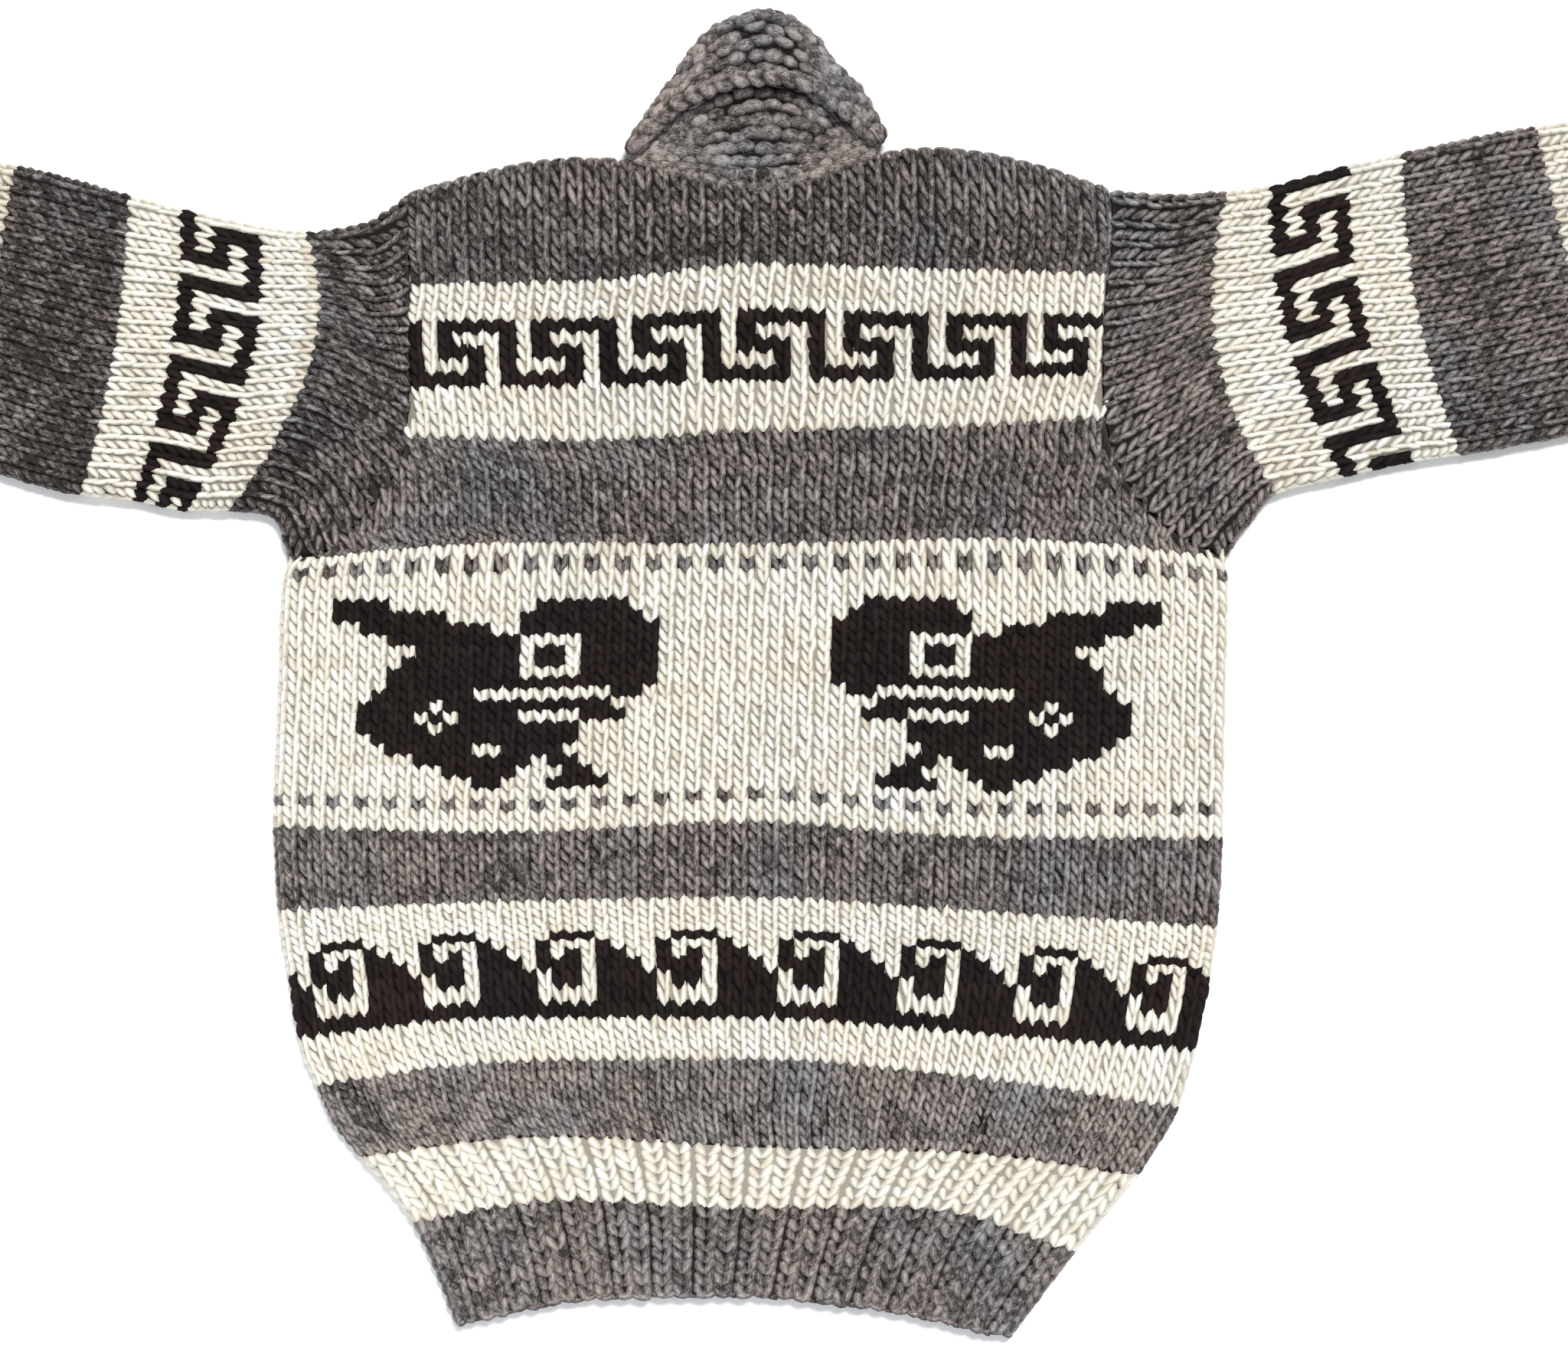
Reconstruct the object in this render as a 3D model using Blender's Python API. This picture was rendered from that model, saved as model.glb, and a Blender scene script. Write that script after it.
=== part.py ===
"""Thick hand-knitted cardigan laid flat with its back upward, as thin solid panels of cloth.

The garment rests on z = 0 with its fronts underneath, its collar toward +Y and its sleeves spread along X.
Every panel is a slab of cloth with its true wall. The back lies on the fronts, each sleeve and cuff is a
flattened tube, and the collar stands up from the neck and turns down over itself.
All tables are in millimetres; the mesh is in metres.
"""
import math

import bmesh
import bpy
import numpy as np

MM = 0.001
CLOTH = 5.0          # wall of the bulky two-yarn knit
GAP = 0.3            # clearance at every seam and between layers
NOSE = (8.0, 40.0, 90.0)   # degrees round the quarter-round of a folded edge
BACK_Z = CLOTH + GAP       # underside of the upper layer
MIDDLE = CLOTH + GAP / 2   # height where upper and lower layers meet
ROUND = CLOTH + GAP / 2    # outer radius of a folded edge
TOP_COURSE = 88.0
UNDERARM = 55.0
SHOULDER_ROLL = 0.6        # courses taken up by the shoulder's rounding
NECK = (0.3193, 0.6688)    # shares of the shoulder line where the neck seam starts and ends
FRONT_OPEN = 0.3           # half the gap between the two fronts
V_START = 108.0            # height where the fronts start to slope away from each other
PUFF = 2.2                 # rise of the upper layer along the middle of a sleeve
BODY_PUFF = 1.4            # rise of the back inside its folded sides

# course, x at left edge, y at left edge, y at quarter, middle, three quarters, right edge, x at right edge
BODY = (
    (0, -219, -265.5, -253.5, -259, -261.5, -275.5, 210),
    (4, -235, -244, -233.5, -235.5, -241.5, -257.5, 221.5),
    (8, -243, -226.5, -212, -211, -220.5, -238.5, 232),
    (12, -253, -200.5, -188.5, -188.5, -197, -207, 241),
    (16, -258.5, -165.5, -156, -155, -162.5, -172, 248.5),
    (23, -264, -130, -124.5, -122.5, -130, -139, 253.5),
    (30, -266.5, -83.5, -86.5, -80.5, -89.5, -90, 256.5),
    (43, -264, -10, -8, -4.5, -8, -11, 258),
    (52, -262, 47, 47.5, 50.5, 47.5, 45, 259.5),
    (55, -258.5, 62.5, 72.5, 71.5, 75, 63.5, 257.5),
    (55.5, -248.5, 65.5, 74.5, 74.5, 77, 68.5, 249.5),
    (56, -236, 68.5, 77, 77, 80, 74, 237),
    (57, -226, 77.5, 83, 83.5, 86, 81.5, 226.5),
    (58.6, -215, 90, 92.5, 93, 95.5, 91.5, 215),
    (60.3, -205, 103, 102.5, 104, 106, 103.5, 205.5),
    (62.8, -196, 117.5, 116.5, 119.5, 121, 119.5, 197.5),
    (65, -194, 131, 128.5, 134, 136, 141.5, 191),
    (69.5, -191, 157.5, 158.5, 161.5, 162, 165.5, 190),
    (75.5, -192.5, 194, 195, 200.5, 198, 197.5, 191),
    (79.5, -190.5, 214.5, 216, 225.5, 222.5, 220.5, 192.5),
    (83.4, -192.5, 240.5, 244.5, 249, 247.5, 242.5, 196),
    (88, -192.5, 265.5, 285, 279, 290.5, 268, 194),
)
# same columns, from the cast-on hem up to the seam with the body
RIB = (
    (-14, -166, -358, -342, -340.5, -347.5, -364.5, 139.5),
    (-6, -190, -301.5, -288.5, -292.5, -292.5, -319, 175),
    (0, -219, -265.5, -253.5, -259, -261.5, -275.5, 210),
)
# course from the armhole, then x and y at the upper fold, along the middle and at the lower fold
SLEEVE_LEFT = (
    (5, -220.5, 248.5, -214, 160.5, -269, 87.5),
    (9, -248.5, 244.5, -244.5, 173, -291, 90),
    (14, -274, 248, -277, 171, -313, 90),
    (21, -316.5, 257, -321, 179.5, -343.5, 95.5),
    (26, -345, 264.5, -352, 181, -372, 98.5),
    (38, -407.5, 281, -422, 199, -436.5, 116.5),
    (54, -499.5, 293, -516.5, 220, -533, 147),
    (70, -596.5, 303, -610.5, 241.5, -624.5, 180),
    (73, -616, 294, -627, 245.5, -638, 197),
    (80, -657.5, 301.5, -668, 254.5, -678.5, 208),
)
SLEEVE_RIGHT = (
    (5, 230, 265.5, 220, 164, 272, 83.5),
    (9, 258.5, 267, 251.5, 179.5, 285.5, 99),
    (14, 281.5, 270, 289.5, 185.5, 321, 108),
    (21, 325, 281, 332, 199, 361.5, 117),
    (26, 354, 288, 361.5, 201.5, 386.5, 120.5),
    (38, 427.5, 302.5, 446.5, 220, 469.5, 137),
    (54, 514, 311.5, 529, 237, 544.5, 163),
    (70, 599.5, 315.5, 612, 254, 624.5, 192),
    (73, 618.5, 306, 628.5, 257, 638.5, 208.5),
    (80, 660.5, 312.5, 670, 265.5, 679.5, 218.5),
)
CUFF_COURSE = 70.0
# outline of the collar's fold and its free lip, left to right
DOME = ((-73, 291), (-63, 304.5), (-55, 316.5), (-46.5, 327), (-37.5, 341.5), (-20, 358),
        (5.5, 365.5), (31.5, 351.5), (41, 338), (51.5, 328), (61, 315.5), (65.5, 306.5), (71.5, 297.5))
LIP = ((-63.5, 288.5), (-51, 300), (-37.5, 310.5), (-27, 315.5), (-14.5, 320), (5.5, 322),
       (31.5, 317.5), (41.5, 309.5), (50.5, 300.5), (62, 291))
LIP_LIFT = 1.5
# height, half widths of the left and right lapels above the neck corners
LAPEL_TOP = ((303.5, 57.5, 59), (324.5, 41, 48), (345.5, 26.5, 30.5), (355.5, 12, 17))
# soft ridges and troughs of the upper layer: x, y, direction in degrees, half length, half width, height
FOLDS = (
    (-269.0, 118.0, 38.0, 28.0, 9.0, -1.6),
    (-262.0, 140.0, 38.0, 34.0, 12.0, 2.2),
    (-210.0, 66.0, -58.0, 42.0, 14.0, 1.5),
    (212.0, 72.0, 58.0, 44.0, 15.0, 1.6),
    (262.0, 128.0, -32.0, 34.0, 11.0, 1.8),
    (240.0, 240.0, -20.0, 26.0, 12.0, -1.2),
    (-60.0, 20.0, 84.0, 150.0, 46.0, 1.1),
    (96.0, -40.0, 98.0, 130.0, 40.0, 1.0),
    (-150.0, -236.0, 80.0, 22.0, 11.0, 1.3),
    (-82.0, -240.0, 86.0, 20.0, 10.0, 1.0),
    (-12.0, -246.0, 90.0, 24.0, 12.0, 1.5),
    (62.0, -244.0, 95.0, 20.0, 10.0, 1.1),
    (132.0, -250.0, 101.0, 22.0, 11.0, 1.3),
    (-470.0, 210.0, 100.0, 60.0, 16.0, 1.6),
    (492.0, 228.0, 78.0, 62.0, 16.0, 1.5),
)
# width shares of the panels' inner columns and heights of the section rows
BACK_SHARES = (0.07, 0.15, 0.24) + tuple(np.linspace(*NECK, 13)) + (0.76, 0.85, 0.93)
FRONT_SHARES = (0.14, 0.3, 0.46, 0.62, 0.8)
LOW_COURSES = (0, 4, 8, 12, 16, 23, 30, 36, 43, 49, 53.5)
ARM_COURSES = (UNDERARM, 55.03, 55.25, 55.75, 56.4, 57.6, 59.2, 61.2, 63.6, 67, 72, 77, 82, 86,
               TOP_COURSE - SHOULDER_ROLL, TOP_COURSE - 0.234 * SHOULDER_ROLL, TOP_COURSE)
SLEEVE_COURSES = (0, 2.5, 5, 9, 14, 21, 28, 36, 45, 54, 63, 70)
CUFF_COURSES = (70, 73, 76.5, 80)


def slopes(knots, values):
    """Slope at each knot of a curve that never overshoots its points."""
    step = np.diff(knots).reshape((-1,) + (1,) * (values.ndim - 1))
    rise = np.diff(values, axis=0) / step
    out = np.zeros_like(values)
    a, b = rise[:-1], rise[1:]
    same = a * b > 0
    out[1:-1] = np.where(same, 2 * a * b / np.where(same, a + b, 1), 0)
    out[0], out[-1] = 1.5 * rise[0] - 0.5 * out[1], 1.5 * rise[-1] - 0.5 * out[-2]
    return out


def curve(knots, values, at):
    """Smooth values at the places asked for, along the first axis of the values."""
    knots, values, at = np.asarray(knots, float), np.asarray(values, float), np.asarray(at, float)
    grade = slopes(knots, values)
    i = np.clip(np.searchsorted(knots, at, side="right") - 1, 0, len(knots) - 2)
    step = knots[i + 1] - knots[i]
    t = (at - knots[i]) / step
    wide = at.shape + (1,) * (values.ndim - 1)
    t, step = t.reshape(wide), step.reshape(wide)
    return ((1 + 2 * t) * (1 - t) ** 2 * values[i] + t * (1 - t) ** 2 * step * grade[i]
            + t * t * (3 - 2 * t) * values[i + 1] + t * t * (t - 1) * step * grade[i + 1])


def course_rows(table, courses):
    """Smooth table rows at the courses asked for, without the course column."""
    rows = np.array(table, float)
    return curve(rows[:, 0], rows[:, 1:], courses)


def along_course(row, x):
    """Height of one course line over the places x; the line follows its five heights."""
    share = (np.asarray(x, float) - row[0]) / (row[6] - row[0])
    return curve(np.linspace(0, 1, 5), row[1:6], share)


def relief(plan):
    """Rise of the upper layer over plan points, from the soft folds."""
    out = np.zeros(plan.shape[:-1])
    for x, y, turn, length, width, height in FOLDS:
        c, s = math.cos(math.radians(turn)), math.sin(math.radians(turn))
        dx, dy = plan[..., 0] - x, plan[..., 1] - y
        out += height * np.exp(-((dx * c + dy * s) / length) ** 2 - ((dy * c - dx * s) / width) ** 2)
    return out


def make_object(name, verts, faces, colour):
    """One named solid with its own wool material; faces are turned outward and shaded smooth."""
    bm = bmesh.new()
    points = [bm.verts.new(v) for v in np.asarray(verts, float) * MM]
    for face in faces:
        bm.faces.new([points[k] for k in face])
    bmesh.ops.recalc_face_normals(bm, faces=bm.faces)
    mesh = bpy.data.meshes.new(name)
    bm.to_mesh(mesh)
    bm.free()
    mesh.shade_smooth()
    mesh.set_sharp_from_angle(angle=math.radians(50))
    obj = bpy.data.objects.new(name, mesh)
    bpy.context.scene.collection.objects.link(obj)
    material = bpy.data.materials.new("wool_" + name)
    material.use_nodes = True
    shader = material.node_tree.nodes["Principled BSDF"]
    shader.inputs["Base Color"].default_value = colour + (1.0,)
    shader.inputs["Roughness"].default_value = 0.9
    mesh.materials.append(material)
    return obj


def quads(rows, cols, base=0, wrap=False):
    """Faces of a grid stored row by row; wrap joins the last column to the first."""
    out = []
    for i in range(rows - 1):
        for j in range(cols if wrap else cols - 1):
            k = (j + 1) % cols
            out.append((base + i * cols + j, base + i * cols + k,
                        base + (i + 1) * cols + k, base + (i + 1) * cols + j))
    return out


def slab(name, plan, low, high, colour):
    """Sheet of cloth between two height grids over one plan grid."""
    rows, cols = plan.shape[:2]
    top = np.dstack([plan, high]).reshape(-1, 3)
    bottom = np.dstack([plan, low]).reshape(-1, 3)
    n = rows * cols
    faces = quads(rows, cols) + [face[::-1] for face in quads(rows, cols, n)]
    rim = ([j for j in range(cols)] + [i * cols + cols - 1 for i in range(1, rows)]
           + [(rows - 1) * cols + j for j in range(cols - 2, -1, -1)] + [i * cols for i in range(rows - 2, 0, -1)])
    for a, b in zip(rim, rim[1:] + rim[:1]):
        faces.append((b, a, a + n, b + n))
    make_object(name, np.vstack([top, bottom]), faces, colour)


def nose_heights(count, left, right):
    """Share of the full wall over the columns of a row with its folded edges at either side."""
    out = np.ones(count)
    rise = np.sin(np.radians(NOSE))
    if left:
        out[:3] = rise
    if right:
        out[-3:] = rise[::-1]
    return out


def nose_insets():
    return CLOTH * (1 - np.cos(np.radians(NOSE))) - CLOTH * (1 - math.cos(math.radians(NOSE[0])))


def row_places(x_left, x_right, shares, left=True, right=True):
    """Places across one row: close to the folded edges, then at the given shares of the width."""
    inset = nose_insets()
    inner = x_left + (x_right - x_left) * np.array(shares)
    start = x_left + inset if left else np.array([x_left])
    end = (x_right - inset)[::-1] if right else np.array([x_right])
    return np.concatenate([start, inner, end])


def seam_normals(points):
    """Unit normals of a plan line, to the right of its direction."""
    along = np.gradient(points, axis=0)
    along /= np.linalg.norm(along, axis=1)[:, None]
    return np.column_stack([along[:, 1], -along[:, 0]])


def armhole(side):
    """Armhole line from the underarm up to the shoulder tip on one side (0 left, 1 right)."""
    rows = course_rows(BODY, ARM_COURSES)
    return rows[:, [0, 1]] if side == 0 else rows[:, [6, 5]]


def body_courses():
    return np.array(LOW_COURSES + ARM_COURSES, float)


def shoulder_fall(courses):
    """Share of the wall left over the rows that round the shoulder line."""
    out = np.ones(len(courses))
    out[-3:] = np.sin(np.radians(NOSE))[::-1]
    return out


def panel_grid(courses, table, shares, left_of=None, right_of=None):
    """Plan grid of a panel; an inner edge may be given as a function of height on either side."""
    rows = course_rows(table, courses)
    grid = []
    for row in rows:
        x_left, x_right = row[0], row[6]
        for _ in range(4):
            if left_of:
                x_right = left_of(along_course(row, x_right))
            if right_of:
                x_left = right_of(along_course(row, x_left))
        x = row_places(x_left, x_right, shares, left=right_of is None, right=left_of is None)
        grid.append(np.column_stack([x, along_course(row, x)]))
    return np.array(grid)


def tuck_armholes(plan, courses, left=True, right=True):
    """Pull the panel's armhole edges in by half the seam gap and its lowest row up by the same."""
    arm = courses >= UNDERARM
    if left:
        plan[arm, 0] += seam_normals(armhole(0)) * GAP / 2
    if right:
        plan[arm, -1] -= seam_normals(armhole(1)) * GAP / 2
    plan[0, :, 1] += GAP / 2


def side_profile(courses, count, left=True, right=True):
    """Wall shares over a body panel: folded at the sides below the underarm, plain along the armholes."""
    folded, plain = nose_heights(count, left, right), np.ones(count)
    low = (courses <= UNDERARM + 0.04)[:, None]
    return np.where(low, folded, plain)


def fade(plan, x_left, x_right, reach=26.0):
    """Soft rise from nothing at the folded edges to one inside the panel."""
    gap = np.minimum(plan[..., 0] - x_left[:, None], x_right[:, None] - plan[..., 0])
    return np.clip(gap / reach, 0, 1) ** 2 * (3 - 2 * np.clip(gap / reach, 0, 1))


def build_back():
    courses = body_courses()
    plan = panel_grid(courses, BODY, BACK_SHARES)
    tuck_armholes(plan, courses)
    wall = side_profile(courses, plan.shape[1])
    at_top = shoulder_fall(courses)[:, None] * np.ones(plan.shape[1])
    neck = np.zeros(plan.shape[1], bool)
    neck[7:18] = True
    wall = np.minimum(wall, np.where(neck, 1, at_top))
    rows = course_rows(BODY, courses)
    rise = (relief(plan) + BODY_PUFF * np.clip(courses / 9, 0.4, 1)[:, None]) * fade(plan, rows[:, 0], rows[:, 6])
    rise *= np.clip((TOP_COURSE - courses) / 4, 0, 1)[:, None]
    low = BACK_Z + np.maximum(rise, 0)
    slab("back", plan, low, low + CLOTH * wall, (0.32, 0.29, 0.27))
    return plan[-1, 6:19].copy()


def build_back_rib():
    courses = np.array([-14.0, -10.0, -6.0, -3.0, 0.0])
    plan = panel_grid(courses, RIB, BACK_SHARES)
    plan[-1, :, 1] -= GAP / 2
    wall = np.ones((len(courses), 1)) * nose_heights(plan.shape[1], True, True)
    rows = course_rows(RIB, courses)
    low = BACK_Z + np.maximum((relief(plan) + 0.4 * BODY_PUFF) * fade(plan, rows[:, 0], rows[:, 6]), 0)
    slab("back_rib", plan, low, low + CLOTH * wall, (0.55, 0.53, 0.48))


def v_edge(side, corner):
    """Inner edge of a front as a function of height: straight up, then sloping to the neck corner."""
    def at(y):
        share = (np.asarray(y, float) - V_START) / (corner[1] - V_START)
        return np.where(share > 0, side * FRONT_OPEN + (corner[0] - side * FRONT_OPEN) * share, side * FRONT_OPEN)
    return at


def build_front(side, corner):
    """One front, side -1 or +1, lying face down on the ground under the back."""
    name = "left" if side < 0 else "right"
    edge = v_edge(side, corner)
    limits = {"left_of": edge} if side < 0 else {"right_of": edge}
    courses = body_courses()
    plan = panel_grid(courses, BODY, FRONT_SHARES, **limits)
    tuck_armholes(plan, courses, left=side < 0, right=side > 0)
    wall = np.minimum(side_profile(courses, plan.shape[1], side < 0, side > 0), shoulder_fall(courses)[:, None])
    high = np.full(wall.shape, CLOTH)
    slab("front_" + name, plan, high - CLOTH * wall, high, (0.30, 0.27, 0.25))
    courses = np.array([-14.0, -10.0, -6.0, -3.0, 0.0])
    plan = panel_grid(courses, RIB, FRONT_SHARES, **limits)
    plan[-1, :, 1] -= GAP / 2
    wall = np.ones((len(courses), 1)) * nose_heights(plan.shape[1], side < 0, side > 0)
    high = np.full(wall.shape, CLOTH)
    slab("front_rib_" + name, plan, high - CLOTH * wall, high, (0.55, 0.53, 0.48))


def cross_lines(table, shares):
    """Sleeve lines across: a parabola through the upper fold, middle and lower fold of each table row."""
    rows = np.array(table, float)
    a = np.asarray(shares, float)[None, :, None]
    top, mid, bottom = (rows[:, None, k:k + 2] for k in (1, 3, 5))
    return rows[:, 0], top * (1 - a) * (1 - 2 * a) + mid * 4 * a * (1 - a) + bottom * a * (2 * a - 1)


def tube(name, plan, puff, colour):
    """Flattened tube of cloth over a plan grid whose rows run along it and columns from fold to fold."""
    rows, cols = plan.shape[:2]
    turn = np.radians(np.array((0.0,) + NOSE[1:]))
    lift = np.ones(cols)
    lift[:3], lift[-3:] = np.sin(turn), np.sin(turn)[::-1]
    inner = plan.copy()
    for k, share in enumerate((0.06, 0.03)):
        inner[:, k] = plan[:, 2] + (plan[:, 0] - plan[:, 2]) * share
        inner[:, -1 - k] = plan[:, -3] + (plan[:, -1] - plan[:, -3]) * share
    width = np.cumsum(np.r_[0, np.linalg.norm(np.diff(plan[rows // 2], axis=0), axis=1)])
    share = width / width[-1]
    rise = np.maximum(relief(plan), 0) * np.clip(np.minimum(share, 1 - share) * 8, 0, 1) ** 2
    rise += np.asarray(puff)[:, None] * np.sin(np.pi * share) ** 2
    ring = []
    for grid, radius in ((plan, ROUND), (inner, GAP / 2)):
        up = np.dstack([grid, MIDDLE + radius * lift + rise * (lift > 0)])
        down = np.dstack([grid, MIDDLE - radius * lift + 0 * rise])[:, -2:0:-1]
        ring.append(np.concatenate([up, down], axis=1))
    around = 2 * cols - 2
    n = rows * around
    faces = quads(rows, around, 0, True) + [face[::-1] for face in quads(rows, around, n, True)]
    for j in range(around):
        k = (j + 1) % around
        faces.append((k, j, n + j, n + k))
        last = (rows - 1) * around
        faces.append((last + j, last + k, n + last + k, n + last + j))
    make_object(name, np.vstack([ring[0].reshape(-1, 3), ring[1].reshape(-1, 3)]), faces, colour)


def build_sleeve(side):
    """Sleeve from the armhole to the cuff seam, then the ribbed cuff; side 0 is left, 1 right."""
    name = ("left", "right")[side]
    line = armhole(side)
    line = line + seam_normals(line) * (-1, 1)[side] * GAP / 2
    line = line[::-1]
    run = np.r_[0, np.cumsum(np.linalg.norm(np.diff(line, axis=0), axis=1))]
    shares = run / run[-1]
    table = (SLEEVE_LEFT, SLEEVE_RIGHT)[side]
    knots, across = cross_lines(table, shares)
    knots, across = np.r_[0, knots], np.concatenate([line[None], across])
    for part, courses in (("sleeve_", SLEEVE_COURSES), ("cuff_", CUFF_COURSES)):
        plan = curve(knots, across, np.array(courses, float))
        set_folds(plan, skip=1 if part == "sleeve_" else 0)
        step = (plan[-1] - plan[-2]) / np.linalg.norm(plan[-1] - plan[-2], axis=1)[:, None]
        if part == "sleeve_":
            plan[-1] -= step * GAP / 2
            puff = PUFF * np.clip(np.array(courses) / 9, 0, 1)
        else:
            plan[0] += step * GAP / 2
            puff = PUFF * np.clip((74 - np.array(courses)) / 4, 0.25, 1)
        tube(part + name, plan, puff, (0.42, 0.40, 0.36) if part == "sleeve_" else (0.30, 0.27, 0.25))


def set_folds(plan, skip):
    """Place the columns next to each fold at their true distances from it."""
    inset = ROUND * (1 - np.cos(np.radians(np.array(NOSE[1:]))))
    for row in plan[skip:]:
        for ends in ((0, 1, 2, 3), (-1, -2, -3, -4)):
            toward = row[ends[3]] - row[ends[0]]
            toward /= np.linalg.norm(toward)
            row[ends[1]] = row[ends[0]] + toward * inset[0]
            row[ends[2]] = row[ends[0]] + toward * inset[1]


def by_length(points, count):
    """Points spaced evenly along a smooth plan line."""
    points = np.array(points, float)
    run = np.r_[0, np.cumsum(np.linalg.norm(np.diff(points, axis=0), axis=1))]
    return curve(run / run[-1], points, np.linspace(0, 1, count))


def build_collar(seam):
    """Collar knit on from the neck seam: it stands up to the fold and turns down to its free lip."""
    seam = seam + np.array([0.0, GAP])
    count = len(seam)
    dome, lip = by_length(DOME, count), by_length(LIP, count)
    centre = CLOTH * 2 + GAP * 1.5
    outer, inner = [], []
    for u, (s, d, p) in enumerate(zip(seam, dome, lip)):
        out = (d - s) / np.linalg.norm(d - s)
        fold = d - out * ROUND
        back = (p - fold) / np.linalg.norm(p - fold)
        length = np.linalg.norm(p - fold)
        raise_lip = LIP_LIFT * math.sin(math.pi * u / (count - 1))
        a = [(*(s + (fold - s) * t), centre - ROUND) for t in (0, 0.5)]
        b = [(*(s + (fold - s) * t), centre - GAP / 2) for t in (0, 0.5)]
        for deg in (0, 45, 90, 135, 180):
            w = math.radians(deg)
            a.append((*(fold + out * ROUND * math.sin(w)), centre - ROUND * math.cos(w)))
            b.append((*(fold + out * GAP / 2 * math.sin(w)), centre - GAP / 2 * math.cos(w)))
        for inset, share in ((CLOTH, 1.0), (1.17, math.sin(math.radians(40))), (0.0, math.sin(math.radians(8)))):
            far = max(length - inset, 0.3)
            at, lift = fold + back * far, raise_lip * far / length
            a.append((*at, centre + GAP / 2 + CLOTH * share + lift))
            b.append((*at, centre + GAP / 2 + lift))
        outer.append(a)
        inner.append(b)
    outer, inner = np.array(outer), np.array(inner)
    m = outer.shape[1]
    ring = np.concatenate([outer, inner[:, ::-1]], axis=1)
    n = 2 * m
    faces = quads(count, n, 0, True)
    for j in range(m - 1):
        faces.append((j + 1, j, n - 1 - j, n - 2 - j))
        last = (count - 1) * n
        faces.append((last + j, last + j + 1, last + n - 2 - j, last + n - 1 - j))
    make_object("collar_back", ring.reshape(-1, 3), faces, (0.27, 0.24, 0.22))


def build_lapel(side, corner):
    """Front part of the collar, filling the open neck under the collar; side -1 or +1."""
    edge = v_edge(side, corner)
    rows = [(y, float(edge(y)) - side * GAP) for y in (112.0, 140.0, 175.0, 210.0, 245.0)]
    rows.append((corner[1], corner[0] - side * GAP))
    rows += [(y, side * (left if side < 0 else right)) for y, left, right in LAPEL_TOP]
    shares = np.linspace(0, 1, 5)
    plan = np.array([[(x + (side * FRONT_OPEN - x) * a, y) for a in (shares if side < 0 else 1 - shares)]
                     for y, x in rows])
    low = np.zeros(plan.shape[:2])
    slab("lapel_left" if side < 0 else "lapel_right", plan, low, low + CLOTH, (0.27, 0.24, 0.22))


def main():
    for obj in list(bpy.data.objects):
        bpy.data.objects.remove(obj, do_unlink=True)
    seam = build_back()
    build_back_rib()
    corners = ((seam[0, 0], seam[0, 1]), (seam[-1, 0], seam[-1, 1]))
    for side in (-1, 1):
        build_front(side, corners[(side + 1) // 2])
        build_lapel(side, corners[(side + 1) // 2])
        build_sleeve((side + 1) // 2)
    build_collar(seam)


main()
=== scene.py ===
"""Thick hand-knitted cardigan laid flat with its back upward, on a plain pale floor.

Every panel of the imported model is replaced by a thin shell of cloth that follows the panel's form, and the
yarn is laid over it one strand at a time: the two legs of each knit stitch, the bumps of the purl wales and
the garter collar, and the braids along the hem, the cuffs and the collar's lip.
Places are worked out in millimetres; meshes are made in metres.
"""
import enum
import logging
import math
from dataclasses import dataclass, field

import bpy
import numpy as np
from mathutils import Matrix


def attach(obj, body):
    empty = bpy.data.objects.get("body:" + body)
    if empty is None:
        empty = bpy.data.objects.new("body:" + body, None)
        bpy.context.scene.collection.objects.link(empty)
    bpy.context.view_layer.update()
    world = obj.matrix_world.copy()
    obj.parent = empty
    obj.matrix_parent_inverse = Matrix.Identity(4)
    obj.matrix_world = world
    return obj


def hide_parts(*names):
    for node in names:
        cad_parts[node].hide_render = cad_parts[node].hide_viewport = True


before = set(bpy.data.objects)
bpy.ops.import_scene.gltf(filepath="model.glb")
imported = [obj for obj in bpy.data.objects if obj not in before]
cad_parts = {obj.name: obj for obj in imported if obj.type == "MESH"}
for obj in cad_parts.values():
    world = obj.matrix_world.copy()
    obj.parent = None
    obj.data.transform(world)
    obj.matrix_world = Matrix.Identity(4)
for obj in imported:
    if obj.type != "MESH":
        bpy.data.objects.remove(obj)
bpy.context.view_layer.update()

LOG = logging.getLogger("cardigan")
MM = 0.001
CLOTH, GAP = 5.0, 0.3                  # thickness of the cloth and space between two layers
ROUND, MIDDLE, TOP_Z = 5.15, 5.15, 10.3  # fold radius, height of the middle plane and of the upper face
TOP_COURSE, UNDERARM = 88.0, 55.0
NECK = (0.3193, 0.6688)                # shares of the shoulder line where the neck starts and ends
V_START, FRONT_OPEN = 108.0, 0.3       # height where the neck's slope starts, half the front's opening
PUFF, BODY_PUFF, LIP_LIFT = 2.2, 1.4, 1.5  # soft swell of sleeves, of the body, of the collar's lip
SHELL_TOP, SHELL_LOW = -1.8, -4.4      # heights of the shell's two faces against the panel's own face
STRAND_FLOOR = -2.4                    # height at which the strands' sides end, unless they say otherwise
SHELL_SHADE_TONE = -5.0                      # painted shade: the shell, which shows only in the gaps between strands, is as dark as the darkest fibres
BODY_HALF, RIB_HALF = 32, 24           # half the wales of the body and of its ribbing
SLEEVE_ACROSS, CUFF_ACROSS = 21, 15    # wales from fold to fold of a sleeve and of its cuff
COURSE_RISE = 6.1                      # millimetres a course, near the armhole
WANDER = (0.03, 0.05, 0.085, 0.17, 0.045)  # differences of a stitch: across, along, width, height, lean
STRAND_TONE, PATCH_TONE = 1.2, 0.9     # spread of tone from strand to strand and from patch to patch
PATCH_WALES = 3.2                      # width of a patch of wool
CREASE_SHADE = 0.6                      # painted shade: darkening of the wool for each millimetre that a trough is deep
TONE_GAIN = 0.11                       # change of the colour mix for each step of tone
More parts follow.
